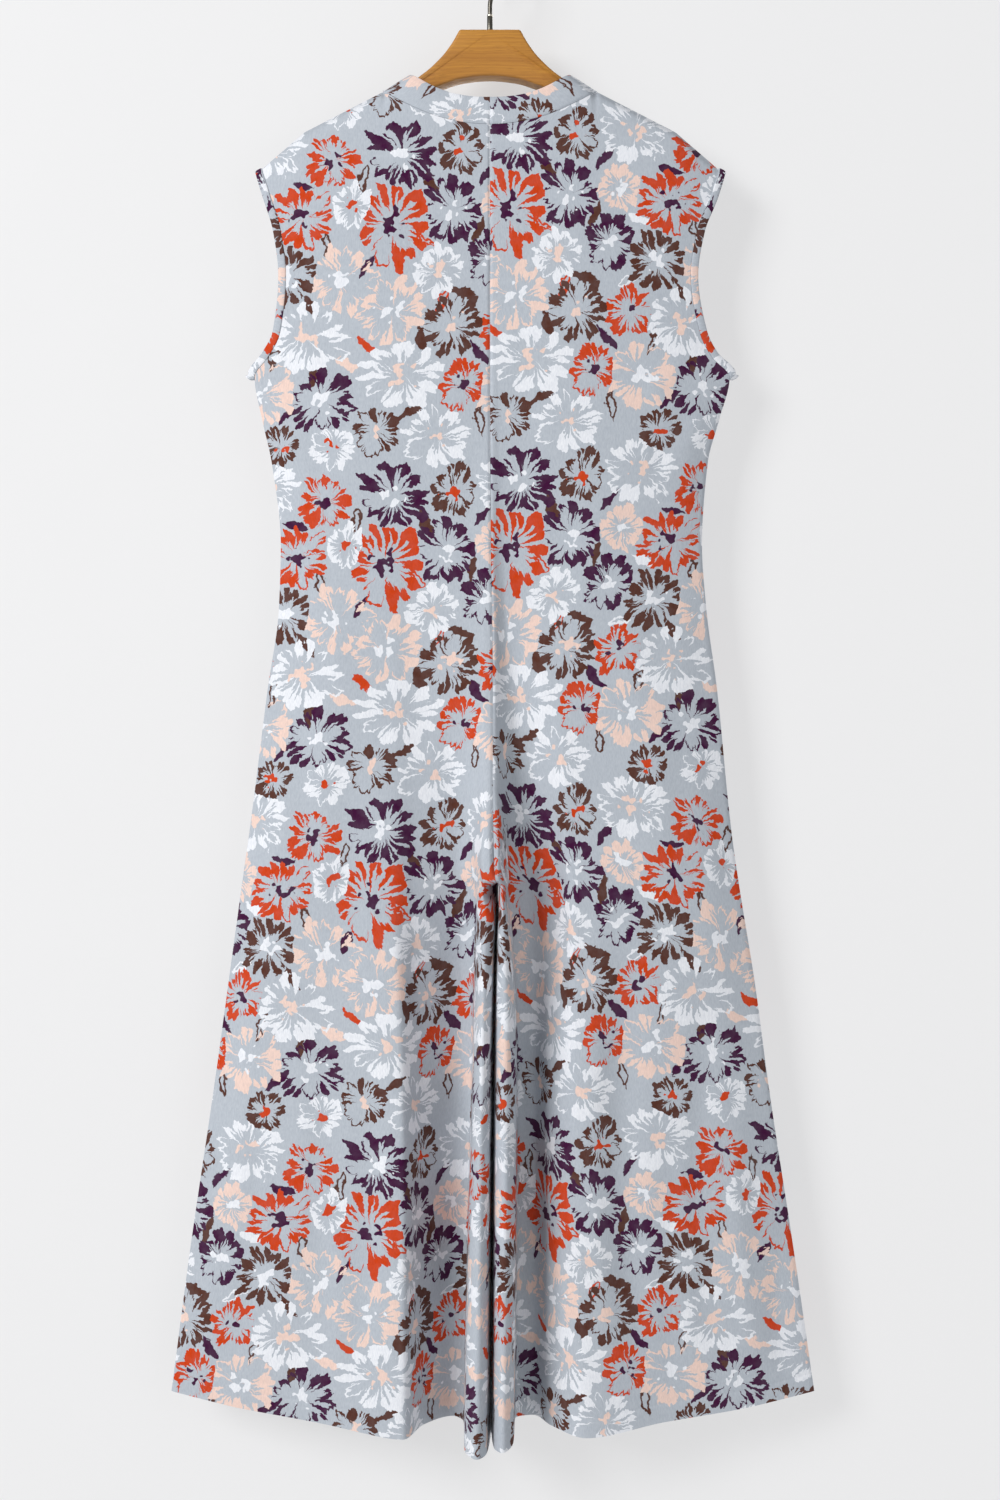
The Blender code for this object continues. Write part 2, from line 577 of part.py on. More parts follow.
def hook_path():
    """Points (x, height over the wood) and radii of the hook, from its foot to its free end."""
    shoulder = HOOK_SOCKET_HEIGHT + HOOK_SOCKET_TAPER
    points = [(0.0, SEAM_GAP), (0.0, HOOK_SOCKET_HEIGHT), (0.0, shoulder), *HOOK_STEM]
    centre_z = HOOK_TO_WOOD - HOOK_BEND + HOOK_WIRE
    for step in range(HOOK_STEPS + 1):
        angle = math.radians(HOOK_FROM + step * HOOK_TURN / HOOK_STEPS)
        points.append((HOOK_BEND * math.cos(angle), centre_z + HOOK_BEND * math.sin(angle)))
    radii = [HOOK_SOCKET, HOOK_SOCKET] + [HOOK_WIRE] * (len(points) - 2)
    return points, radii


def make_hook():
    """The metal hook: a bent wire whose foot is a short socket on the wood."""
    path, radii = hook_path()
    bm = bmesh.new()
    rings = []
    for k, (x, z) in enumerate(path):
        before = path[max(k - 1, 0)]
        after = path[min(k + 1, len(path) - 1)]
        along = unit(np.array((after[0] - before[0], 0.0, after[1] - before[1])))
        across = np.array((along[2], 0.0, -along[0]))
        ring = []
        for side in range(HOOK_SIDES):
            angle = 2 * math.pi * side / HOOK_SIDES
            spot = np.array((x, 0.0, z)) + radii[k] * (
                across * math.cos(angle) + np.array((0.0, 1.0, 0.0)) * math.sin(angle)
            )
            ring.append(bm.verts.new(spot * MM))
        rings.append(ring)
    for low, high in zip(rings, rings[1:]):
        for side in range(HOOK_SIDES):
            after = (side + 1) % HOOK_SIDES
            bm.faces.new((low[side], low[after], high[after], high[side]))
    bm.faces.new(rings[0][::-1])
    bm.faces.new(rings[-1])
    mesh = bpy.data.meshes.new("hanger_hook")
    add_piece("hanger_hook", finish_mesh(mesh, bm), "steel")


# ================================================================ the whole part
def main():
    """Build every piece of the jumpsuit and its hanger."""
    for old in list(bpy.data.objects):
        bpy.data.objects.remove(old)
    edges = {}
    for side in ("left", "right"):
        for front in (False, True):
            edges[side, front] = make_panel(side, front)
    make_collar(edges)
    for side in ("left", "right"):
        make_binding(side, edges)
    make_wood()
    make_hook()


main()
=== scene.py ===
"""Floral jumpsuit on a wooden hanger: the visible model, built round the packed frame.

Metres, +Z up. The origin is the inside top of the hook. The garment's back faces -Y, its front
faces +Y, and the wearer's left is at -X. Tables of the garment's form are in millimetres:
"drop" is how far a section lies below the top of the hanger's wood, "across" is measured
outward from the centre seam, and "proud" is how far the outer face stands out from the
hanger's middle plane, backward on the backs and forward on the fronts.
"""

import json
import math

import bmesh
import bpy
import numpy as np
from bpy.props import FloatProperty, FloatVectorProperty, PointerProperty
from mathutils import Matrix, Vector

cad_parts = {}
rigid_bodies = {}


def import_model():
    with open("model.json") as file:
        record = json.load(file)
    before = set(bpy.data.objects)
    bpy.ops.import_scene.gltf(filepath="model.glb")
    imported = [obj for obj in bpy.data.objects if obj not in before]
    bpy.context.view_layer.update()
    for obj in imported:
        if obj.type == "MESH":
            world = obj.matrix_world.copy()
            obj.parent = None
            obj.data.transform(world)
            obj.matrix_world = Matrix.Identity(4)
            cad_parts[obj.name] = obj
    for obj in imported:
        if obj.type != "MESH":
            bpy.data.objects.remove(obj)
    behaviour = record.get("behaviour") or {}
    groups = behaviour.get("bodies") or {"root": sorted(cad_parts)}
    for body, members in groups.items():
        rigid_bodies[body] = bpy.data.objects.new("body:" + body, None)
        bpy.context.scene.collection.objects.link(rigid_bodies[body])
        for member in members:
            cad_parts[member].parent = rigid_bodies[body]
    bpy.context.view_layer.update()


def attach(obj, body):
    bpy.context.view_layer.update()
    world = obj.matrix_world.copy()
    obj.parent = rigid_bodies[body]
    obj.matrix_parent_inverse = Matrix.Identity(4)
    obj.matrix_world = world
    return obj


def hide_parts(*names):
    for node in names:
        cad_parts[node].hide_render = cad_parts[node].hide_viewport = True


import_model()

bl_info = {
    "name": "Floral jumpsuit",
    "version": (1, 0, 0),
    "blender": (4, 5, 0),
    "location": "3D View > Sidebar > Jumpsuit",
    "description": "Builds a printed knit jumpsuit hanging on a wooden hanger",
    "category": "Object",
}

MM = 0.001
SIDES = ("left", "right")
PANELS = tuple((side, front) for front in (False, True) for side in SIDES)

# ---------------------------------------------------------------- driving sizes, in millimetres
HOOK_TO_WOOD = 78.0          # from the inside top of the hook down to the top of the wood
TO_HOOK = np.array((0.0, 0.0, -HOOK_TO_WOOD))
SEAM_GAP = 0.3               # between two panels that are sewn together
LEG_CLEARANCE = 1.6          # between the two legs below the crotch
NECK_DROP = 101.0            # the neckline's seam, at the centre back and where it meets the shoulder
NECK_CORNER_DROP = 62.4
NECK_CURVE = 2.1
V_DROP = 248.0               # the front neckline's point
SHOULDER_SLOPE = 0.514       # over the hanger's arm, and past the arm's end
CAP_SLOPE = 0.867
ARM_END = 193.0
COLLAR_TOP_DROP = 72.0       # the collar's free edge at the centre back, and how it rises to the side
COLLAR_SIDE_RISE = 27.0
COLLAR_SIDE_REACH = 84.0
COLLAR_CURVE = 2.4
COLLAR_V_DROP = 194.0
COLLAR_FRONT_PROUD = 22.0
COLLAR_BACK_PROUD = 18.5
COLLAR_TURN = 0.84           # share of the collar's reach where its top turns in to the side
BAND_WALL = 2.2              # thickness of a folded band
BINDING_WIDTH = 8.5          # width of an armhole's band, and how far it stands out of the cloth
BINDING_PROUD = 0.5
COLLAR_BULGE = 0.7           # how far a band's outer face bulges
BINDING_BULGE = 0.4
FOOT_ROUNDING = 0.3          # how round a band's sewn edge is, against its free edge
SEAM_SHIFT_REACH = 110.0     # how far across the middle seam's sideways wander dies out
TOP_ROW = 141.0              # the drops of a panel's main rows, before its top and hem are shaped
UNDERARM_ROW = 359.0
CROTCH_ROW = 886.0
HEM_ROW = 1412.0
TOP_FADE = 190.0             # how far down the shaping of a panel's top reaches
ROWS_BELOW_TOP = (0, 0.6, 1.4, 2.6, 4.2, 6.2, 8.6, 11.5, 15)
ROWS_ABOVE_HEM = (30, 26, 23, 20.5, 19, 18, 17, 15.5, 13, 9, 5, 2.5, 1, 0)
LEAST_WIDTH = 0.5            # the least width between two places of a section, so that none shuts
CREASE_BOW = 0.035           # how far a crease bows aside, as a share of its length
CREASE_STARTS = 0.35         # the shares of its length over which it rises and dies out
CREASE_ENDS = 0.3
LEG_LEAN = 5.0               # how far the front's inner folds lean past the middle, to the right
LEG_LEAN_REACH = 42.0        # how far across a leg the lean dies out
LEG_LEAN_DROP = 45.0         # how far below the crotch the lean is whole
LEG_LEAN_DEPTH = 14.0        # how far out from the inseam the lean is whole
CENTRE_DIP = (1.3, 1.7)      # depth and half width of the dip along a pressed seam
SIDE_DIP = (1.1, 2.0)
HEM_DIP = (0.35, 1.3)
HEM_STEP = 0.35              # how far the turned-up hem stands out
HEM_STEP_WIDTH = 3.0
TUCK = 6.0                   # how far from the middle plane the collar's seam turns over the shoulder
CLOSE_TO_SIDE = (0.034, 0.014, 0)      # the last columns, as shares of the last width
QUIET_CENTRE = 18.0          # how far from the middle seam, the side and the top the creases are whole
QUIET_SIDE = 16.0
QUIET_TOP = 30.0
SIDE_COLUMN = -9             # the column a little way in from a panel's side
UNDERARM_OUT = (2.6, -0.6)   # how far out and up the two armhole seams meet under the arm
TIP_OFF = (0.70, -0.71)      # way off the cloth at the shoulder's tip, outward and up
UNDERARM_OFF = (0.45, 0.89)
TIP_IN = (-0.71, -0.70)      # way in to the body there
UNDERARM_IN = (-0.89, 0.45)
STITCH_UP = {"armhole": 1.7, "collar": 1.9}       # from a band's seam to its row of stitches
STITCH_SIDES = 6
STITCH_BLUNT = 0.35          # a stitch's end, as a share of its radius
STITCH_TAPER = 1.2           # length of its taper, in radii
STITCH_DIVE = 1.6            # how deep its ends go into the cloth, in radii
HEM_STITCH_LIFT = 0.35       # share of the thread's radius that a hem stitch stands out
STITCH_PROUD = {"armhole": 0.30, "collar": 0.35}  # how far the thread's middle stands out
# the hook's wire: its stem's places (sideways, above the wood), and its bend's angles
HOOK_STEM = ((0, 1.2), (0, 10), (0, 20), (0, 29), (0.7, 35), (4, 40.5), (9.6, 46.2))
HOOK_BEND = range(-35, 206, 10)
# the sleeve the hook turns in: its foot's radius and height, then how far each step rises and narrows
SLEEVE_RADIUS = 3.4
SLEEVE_FOOT = 0.2
SLEEVE_SIDES = 40
SLEEVE_STEPS = (
    (0.7, 1.0), (0.4, 0.88), (15.0, 1.0), (0.3, 0.94), (0.3, 1.06), (1.4, 1.0), (0.5, 0.90),
)
SLEEVE_RING = 16.5           # faces higher than this are the ring, whose plating carries a painted highlight
# half the wood's outline (across, drop): its top, its arm's tip and its underside
WOOD_OUTLINE = (
    (0, 0), (31.5, 0), (38.5, 13), (47.8, 26), (62.4, 40.6), (77, 51), (95, 65.5), (114, 76.5),
    (186, 110), (190, 115.5), (184, 122),
    (114, 93), (77, 69), (58, 60.3), (32, 51), (12, 48.2), (0, 47.8),
)
WOOD_CORNER = 2.4            # roundings of the wood's outline
WOOD_BEND = 6.5
WOOD_CORNER_STEPS = 6
WOOD_THINS_FROM = 60.0       # where the wood starts to thin towards its arms, and over how far
WOOD_THINS_OVER = 45.0

# ---------------------------------------------------------------- form of the garment
# drop, left and right reach from the middle plane, and how proud the edge of a panel is
SIDE = np.array((
    (141, 237.0, 238.0, 0.0), (148, 235.0, 236.0, 3.2), (170, 228.0, 229.0, 6.5),
    (206, 217.0, 215.0, 9.5), (254, 211.0, 207.5, 11.0), (315, 217.5, 217.5, 9.5),
    (339, 230.0, 230.0, 7.0), (359, 244.5, 249.0, 3.4), (402, 237.0, 238.5, 1.6),
    (447, 227.0, 226.5, 1.5), (533, 217.5, 220.5, 1.5), (599, 219.5, 225.0, 1.5),
    (682, 231.0, 236.0, 1.5), (830, 250.0, 251.0, 1.5), (883, 257.5, 258.5, 1.5),
    (992, 272.5, 276.0, 1.5), (1090, 286.0, 289.0, 1.5), (1267, 312.0, 316.0, 1.5),
    (1412, 331.0, 337.0, 2.0),
))
# drop, sideways place of the middle seam, and how proud the back and the front are there
CENTRE = np.array((
    (141, 0.0, 20.0, 23.0), (254, 0.0, 21.5, 23.0), (359, 0.0, 23.0, 24.0), (533, 1.0, 27.0, 25.0),
    (682, 3.0, 33.0, 26.0), (782, 3.0, 44.0, 27.0), (860, 4.0, 58.0, 25.0), (878, 6.0, 62.0, 12.0),
    (886, 9.0, 15.0, -15.0), (942, 6.0, 15.0, -15.0), (1032, 4.0, 14.0, -14.0),
    (1182, 2.5, 12.0, -12.0), (1412, 1.0, 10.0, -10.0),
))
# a row for each section: its drop, then (across, proud) of fold_in, fold_front, fold_out, root,
# valley, slope, ridge, mid and near_side
BACK_TOP = (
    (141, (4, 20), (10, 20), (17, 20), (28, 20), (60, 19.5), (103, 13), (112.5, 0), (160, 0), (200, 0)),
    (148, (4, 20), (10, 20), (17, 20), (28, 20), (60, 20), (103, 15), (112.5, 11), (160, 10.5),
     (200, 8.5)),
    (172, (4, 20.5), (10, 20.5), (17, 20.5), (28, 20.5), (60, 20.5), (99, 19), (112.5, 17), (160, 15),
     (200, 11.5)),
)
BACK_LEFT = BACK_TOP + (
    (254, (4, 21.5), (10, 21.5), (17, 21.5), (28, 21.5), (62, 22), (88, 22), (110, 21.5), (152, 19),
     (188, 15)),
    (359, (4, 23), (10, 23), (17, 23), (28, 23), (64, 23.5), (88, 23), (112, 22), (160, 18), (210, 11)),
    (533, (6, 26.5), (13, 25.5), (21, 24.5), (30.5, 24), (58.5, 23), (82.5, 22.5), (103, 22),
     (148, 18), (188, 11)),
    (682, (8, 32.5), (12.5, 31), (20.5, 28.5), (32, 25), (59.5, 21), (81, 21.5), (100.5, 23),
     (150, 22), (195, 14)),
    (782, (6, 43), (10.5, 39), (15.5, 32), (26.5, 22), (42, 17.5), (77, 22), (100.5, 26),
     (158, 24), (208, 15)),
    (878, (4.5, 62), (11.5, 60), (15, 46), (24.5, 19), (38, 11), (76, 21), (101.5, 31), (165, 26),
     (220, 17)),
    (886, (12, 46), (14, 50), (17.5, 43), (25, 16), (38, 10), (76.5, 21), (101.5, 31), (165, 26),
     (220, 17)),
    (892, (12, 44), (15, 50), (18.5, 42), (24.5, 15), (37.5, 9), (76.6, 21), (101.6, 31.5),
     (165.5, 26.2), (220.8, 17.2)),
    (902, (7.5, 49), (13, 56), (18, 45), (24, 14), (37, 8), (77, 21), (101.8, 32), (166.5, 26.4),
     (222.2, 17.6)),
    (915, (3.4, 52), (11.2, 59.5), (17.6, 48), (23.5, 12.5), (36.5, 6.6), (77.4, 21), (102.1, 33),
     (168, 26.8), (224.2, 18.1)),
    (942, (3, 54), (10.5, 62), (17.5, 50), (23, 10), (36, 3), (76.5, 20), (100, 36), (170, 27.5),
     (228, 19)),
    (1032, (4, 57), (11, 66), (18.5, 52), (22, 2), (35.5, -5), (72, 15), (95, 42), (174, 29),
     (238, 20)),
    (1182, (4, 60), (12.5, 71), (22, 56), (25, -5), (37.5, -10), (69.5, 13), (90.5, 49), (176, 30),
     (249.5, 20)),
    (1412, (4.5, 64), (14, 78), (26, 62), (28.5, -7), (39, -12), (68.5, 13), (89, 53), (180, 31),
     (262, 18)),
)
BACK_RIGHT = BACK_TOP + (
    (254, (4, 21.5), (10, 21.5), (17, 21.5), (28, 21.5), (62, 22), (86, 22), (108, 21.5), (150, 19),
     (186, 15)),
    (359, (4, 23), (10, 22.5), (17, 22.5), (28, 22.5), (60, 23), (84, 23), (108, 22), (160, 18),
     (212, 11)),
    (533, (4, 25), (9, 22.5), (15, 21), (27, 20.5), (51.5, 21.5), (73.5, 21.8), (96, 22), (148, 18),
     (190, 11)),
    (682, (4, 30), (8, 24), (14.5, 18), (25.5, 15), (40, 17), (54.5, 21), (79, 23), (145, 22),
     (195, 14)),
    (782, (5, 40), (9.5, 30), (14.5, 18), (21.5, 10), (38, 8), (56, 14), (79, 24.5), (150, 23),
     (205, 15)),
    (878, (4, 60), (8.5, 50), (11.5, 36), (15, 12), (37, -1), (61, 4), (84.5, 27), (155, 25),
     (215, 17)),
    (886, (1.5, 52), (4.5, 56), (7.5, 46), (11, 10), (36, -3), (62, 3), (85, 28), (155, 25),
     (215, 17)),
    (942, (3, 58), (9, 63), (16.5, 50), (19, 6), (39, -6), (62, 6), (87, 33), (160, 28), (225, 18)),
    (1032, (4, 58), (12.5, 65), (23, 50), (25.5, 4), (42, -8), (60, 12), (88, 38), (165, 30),
     (232, 18)),
    (1182, (3.5, 60), (13, 70), (24, 54), (27, 2), (42.5, -9), (61, 20), (91.5, 42), (170, 30),
     (245, 18)),
    (1412, (3.5, 64), (12, 76), (23, 60), (26, 0), (43.5, -6), (63.5, 24), (98, 48), (178, 32),
     (262, 18)),
)
# the same for turn, lap, fold, slope, ridge, mid and near_side
FRONT = (
    (141, (12, 22.5), (32, 21.5), (66, 19.5), (103, 13), (112.5, 0), (160, 0), (200, 0)),
    (148, (12, 22.5), (32, 22), (66, 20.5), (103, 15), (112.5, 11), (160, 10.5), (200, 8.5)),
    (172, (12, 23), (32, 23), (66, 22.5), (99, 19.5), (112.5, 17), (160, 15), (200, 11.5)),
    (254, (12, 23), (32, 23), (66, 24), (90, 24), (111, 22), (151, 19), (187, 15)),
    (359, (12, 24), (32, 25), (66, 26), (90, 25), (112, 22), (160, 18), (211, 11)),
    (533, (12, 25), (32, 26), (64, 24), (84, 22), (104, 21), (150, 18), (190, 11)),
    (682, (12, 26), (34, 27), (66, 24), (86, 24), (106, 25), (155, 22), (198, 13)),
    (860, (12, 28), (34, 31), (66, 27), (88, 26), (110, 28), (165, 26), (215, 16)),
    (878, (6, 22), (24, 30), (62, 28), (88, 26), (110, 28), (167, 26), (218, 16)),
    (886, (2.5, 6), (10, 26), (52, 31), (86, 27), (110, 29), (168, 27), (220, 16)),
    (1032, (2.5, 8), (12, 29), (48, 35), (84, 28), (112, 31), (172, 29), (235, 18)),
    (1182, (3, 8), (13, 30), (48, 38), (84, 30), (114, 34), (176, 31), (245, 19)),
    (1412, (3.5, 8), (15, 31), (46, 40), (84, 31), (116, 38), (180, 33), (261, 20)),
)
SECTIONS = {
    ("left", False): BACK_LEFT, ("right", False): BACK_RIGHT,
    ("left", True): FRONT, ("right", True): FRONT,
}
RIDGE_COLUMN = {False: 7, True: 5}     # the shoulder's neck corner, and the panel's grain line
# the hem's drop at each column
FRONT_HEM = (1455, 1452, 1446, 1447, 1444, 1441, 1433, 1424, 1412)
HEMS = {
    ("left", False): (1455, 1457, 1458, 1454, 1446, 1442, 1443, 1446, 1435, 1424, 1412),
    ("right", False): (1449, 1451, 1452, 1447, 1440, 1439, 1441, 1446, 1435, 1425, 1412),
    ("left", True): FRONT_HEM, ("right", True): FRONT_HEM,
}

# ---------------------------------------------------------------- creases laid in one by one
# where each starts and ends (across, drop), its half width and how far it stands out;
# a negative height is a trough
CREASES = {
    ("left", False): (
        (60, 140, 96, 250, 16, -0.9), (120, 130, 150, 240, 18, 0.8), (205, 330, 150, 395, 12, 1.6),
        (214, 372, 165, 470, 11, -1.3), (120, 430, 70, 640, 20, -1.0), (205, 520, 150, 690, 16, 1.2),
        (215, 640, 190, 900, 15, -1.5), (150, 700, 158, 1010, 20, -1.6), (60, 560, 62, 820, 14, 1.2),
        (205, 930, 214, 1400, 17, 2.2), (245, 1040, 268, 1420, 13, -2.0), (134, 1010, 140, 1420, 15, -2.6),
        (292, 1180, 300, 1420, 12, 1.8), (168, 1150, 160, 1430, 12, 1.6), (36, 250, 40, 440, 15, 0.5),
    ),
    ("right", False): (
        (64, 150, 100, 240, 15, 0.8), (130, 140, 160, 260, 18, -0.9), (210, 338, 158, 390, 12, 1.5),
        (216, 380, 160, 480, 11, -1.4), (128, 450, 96, 640, 18, 0.9), (206, 530, 160, 700, 15, -1.3),
        (180, 680, 186, 930, 17, 1.3), (118, 880, 126, 1400, 14, 2.2), (148, 890, 160, 1420, 20, -4.6),
        (226, 960, 238, 1420, 15, -2.3), (258, 1080, 282, 1420, 14, 2.2), (190, 1120, 196, 1430, 12, -1.7),
        (300, 1230, 308, 1420, 10, -1.4), (40, 300, 46, 470, 14, -0.5), (70, 700, 74, 850, 12, 1.0),
    ),
    ("left", True): (
        (70, 150, 110, 250, 16, 0.9), (206, 336, 150, 400, 12, 1.5), (212, 380, 160, 480, 11, -1.2),
        (110, 460, 90, 650, 18, -1.0), (200, 560, 170, 720, 16, 1.2), (150, 720, 160, 1020, 18, -1.6),
        (205, 900, 216, 1400, 16, 2.2), (64, 960, 60, 1410, 14, -2.4), (250, 1060, 272, 1420, 13, -2.0),
        (140, 1040, 146, 1420, 15, -2.0), (296, 1200, 304, 1420, 11, 1.6), (36, 420, 40, 700, 15, 0.8),
    ),
    ("right", True): (
        (74, 140, 104, 240, 15, -0.8), (208, 340, 156, 396, 12, 1.4), (214, 376, 168, 470, 11, -1.3),
        (118, 440, 84, 640, 18, 1.0), (198, 540, 166, 700, 16, -1.2), (158, 690, 166, 980, 18, 1.5),
        (212, 920, 224, 1400, 16, -2.2), (68, 940, 66, 1410, 13, 2.0), (256, 1080, 280, 1420, 14, 2.1),
        (132, 1010, 140, 1420, 14, -2.2), (300, 1220, 306, 1420, 10, -1.5), (38, 460, 34, 720, 15, -0.8),
    ),
}

# ---------------------------------------------------------------- the print
# each flower's place in the repeat, its reach across and up, in millimetres, how many petals,
# the ink of its petals and the ink of its heart
FLOWERS = (
    (38, 36, 38, 36, 12, "purple", "white"),
    (100, 30, 25, 30, 7, "brown", "orange"),
    (160, 24, 37, 33, 12, "white", "peach"),
    (226, 40, 27, 29, 7, "orange", "purple"),
    (30, 108, 40, 46, 11, "orange", "purple"),
    (92, 92, 32, 38, 10, "purple", "white"),
    (143, 84, 24, 25, 8, "peach", "white"),
    (196, 98, 37, 33, 13, "orange", "purple"),
    (248, 88, 23, 25, 6, "white", "orange"),
    (78, 154, 26, 28, 8, "white", "peach"),
    (132, 142, 27, 30, 7, "purple", "white"),
    (182, 158, 34, 32, 12, "brown", "white"),
    (240, 164, 37, 36, 12, "peach", "white"),
    (34, 196, 38, 34, 12, "peach", "white"),
    (96, 210, 33, 33, 12, "brown", "peach"),
    (150, 212, 26, 28, 7, "orange", "purple"),
    (206, 222, 40, 38, 11, "white", "peach"),
    (48, 262, 42, 36, 11, "white", "peach"),
    (112, 272, 26, 27, 7, "orange", "purple"),
    (160, 278, 40, 37, 11, "peach", "white"),
    (226, 288, 36, 34, 12, "purple", "white"),
    (22, 320, 25, 27, 7, "brown", "peach"),
    (84, 326, 35, 30, 11, "white", "peach"),
    (178, 334, 23, 24, 6, "brown", "orange"),
    (236, 336, 24, 22, 8, "white", "orange"),
)
# each leaf stroke's place, its length and width, in millimetres, its turn in degrees and its ink
LEAVES = (
    (70, 64, 17, 5.0, 62, "brown"), (128, 54, 15, 4.6, 130, "purple"),
    (62, 122, 15, 4.6, 40, "orange"), (118, 112, 16, 5.2, 105, "brown"),
    (166, 118, 16, 4.6, 20, "white"), (222, 128, 17, 5.4, 75, "brown"),
    (4, 150, 15, 4.8, 120, "purple"), (106, 178, 17, 5.4, 15, "brown"),
    (150, 180, 15, 4.6, 160, "white"), (66, 228, 17, 5.0, 70, "brown"),
    (10, 232, 15, 4.6, 35, "orange"), (172, 242, 15, 4.6, 110, "brown"),
    (126, 240, 16, 5.0, 50, "purple"), (190, 300, 17, 4.6, 140, "purple"),
    (128, 306, 16, 5.2, 85, "brown"), (250, 250, 16, 5.0, 20, "peach"),
    (56, 300, 16, 4.6, 150, "brown"), (258, 60, 16, 5.0, 95, "brown"),
    (206, 190, 15, 4.8, 55, "brown"), (196, 66, 14, 4.4, 10, "purple"),
    (84, 184, 13, 4.2, 120, "orange"), (214, 262, 15, 4.8, 100, "brown"),
)
COLLAR_PRINT_START = (0.05, 0.02)
BINDING_PRINT_START = (0.11, 0.21)
PRINT_DRIFT = (0.0085, 0.0085, 0.0)    # how far the brush wanders, broadly and at its ragged edge
PRINT_RAGGED = (0.0024, 0.0030, 0.0)
INKS = ("white", "peach", "brown", "orange", "purple")
REPEAT_ACROSS = 0.260
REPEAT_UP = 0.352
LEAN = math.radians(2.5)               # the grain leans outward down each side
SAG = 0.052                            # how much closer the print lies at the hem, for each metre
PRINT_CLOSE = 0.985                    # how stretched lengthwise the print is all over
PRINT_START = {                        # where each panel was cut from the printed cloth
    ("left", False): (0.123, 0.096), ("right", False): (0.015, 0.080),
    ("left", True): (0.070, 0.300), ("right", True): (0.190, 0.210),
}


# ---------------------------------------------------------------- camera and lights, in metres
VIEW_MIDDLE = (0.0104, 0.0, -0.824)
KEY_PLACE = (-3.45, -3.5, 1.25)
KEY_SIZE = 2.0
FILL_PLACE = (1.9, -2.5, -0.5)
FILL_SIZE = 2.2
FRONT_PLACE = (0.9, 2.6, 0.5)
WALL_REACH = 2.4
WALL_TOP = 0.9
FLOOR_SIZE = 9.0
SKY_COLOUR = (0.97, 0.98, 1.0)
SKY_STRENGTH = 0.37


# ================================================================ settings
def colour_setting(name, description, default):
    """A colour a user can change."""
    return FloatVectorProperty(
        name=name, description=description, default=default, size=3, min=0, max=1, subtype="COLOR",
    )


def length_setting(name, description, default):
    """A length a user can change."""
    return FloatProperty(name=name, description=description, default=default, min=0.0, unit="LENGTH")


def power_setting(name, description, default):
    """A light's power that a user can change."""
    return FloatProperty(name=name, description=description, default=default, min=0.0, unit="POWER")


class ClothSizes(bpy.types.PropertyGroup):
    """Sizes of the cloth and of its sewing."""
    thickness: length_setting("Cloth thickness", "Thickness of one layer of the knit", 0.0009)
    across_step: length_setting("Across step", "Width of the mesh's faces across a panel", 0.0046)
    down_step: length_setting("Down step", "Height of the mesh's faces down a panel", 0.0052)
    hem_depth: length_setting("Hem depth", "How far the hem is turned up", 0.018)
    crease_share: FloatProperty(
        name="Crease share", description="How strongly the hand-laid creases show", default=1.0,
        min=0.0, max=2.0,
    )
    stitch_length: length_setting("Stitch length", "Length of one stitch", 0.0030)
    stitch_gap: length_setting("Stitch gap", "Gap between two stitches", 0.0009)
    thread_radius: length_setting("Thread radius", "Radius of the sewing thread", 0.00028)


class PrintInks(bpy.types.PropertyGroup):
    """Colours of the cloth and its print."""
    ground: colour_setting("Ground", "Blue-grey ground of the cloth", (0.470, 0.506, 0.552))
    white: colour_setting("White ink", "White flowers", (0.810, 0.825, 0.860))
    peach: colour_setting("Peach ink", "Peach flowers", (0.840, 0.625, 0.540))
    brown: colour_setting("Brown ink", "Brown flowers and leaves", (0.092, 0.031, 0.020))
    orange: colour_setting("Orange ink", "Orange-red flowers", (0.590, 0.050, 0.005))
    purple: colour_setting("Purple ink", "Dark purple flowers", (0.050, 0.004, 0.038))
    thread: colour_setting("Thread", "Sewing thread", (0.380, 0.420, 0.480))


class HangerLook(bpy.types.PropertyGroup):
    """Colours and sizes of the hanger."""
    wood_pale: colour_setting("Pale wood", "Spring growth in the wood", (0.520, 0.235, 0.032))
    wood_dark: colour_setting("Dark wood", "Summer growth in the wood", (0.370, 0.145, 0.015))
    metal: colour_setting("Metal", "Plated metal of the hook", (0.150, 0.140, 0.120))
    half_thickness: length_setting("Half thickness", "Half the wood's thickness at its middle", 0.012)
    arm_half_thickness: length_setting("Arm half thickness", "Half the thickness of an arm", 0.006)
    edge_rounding: length_setting("Edge rounding", "Rounding of the wood's long edges", 0.003)
    wire_radius: length_setting("Wire radius", "Radius of the hook's wire", 0.0024)
    hook_radius: length_setting("Hook radius", "Radius of the hook's bend", 0.018)


class StageSizes(bpy.types.PropertyGroup):
    """Backdrop, light and camera."""
    wall_gap: length_setting("Wall gap", "How far the wall stands behind the hanger", 0.048)
    floor_drop: length_setting("Floor drop", "How far the floor lies below the hook", 1.90)
    wall_glow: colour_setting("Wall glow", "Light the backdrop gives off itself", (0.555, 0.555, 0.558))
    camera_distance: length_setting("Camera distance", "Camera to the hanger's plane", 2.2)
    view_height: length_setting("View height", "Height that the view spans at the hanger", 1.56)
    key_power: power_setting("Key light", "Power of the main light", 212.0)
    fill_power: power_setting("Fill light", "Power of the weaker light", 12.0)
    front_power: power_setting("Front light", "Power of the light on the garment's front", 56.0)


def settings():
    """The scene's settings for this object."""
    return bpy.context.scene


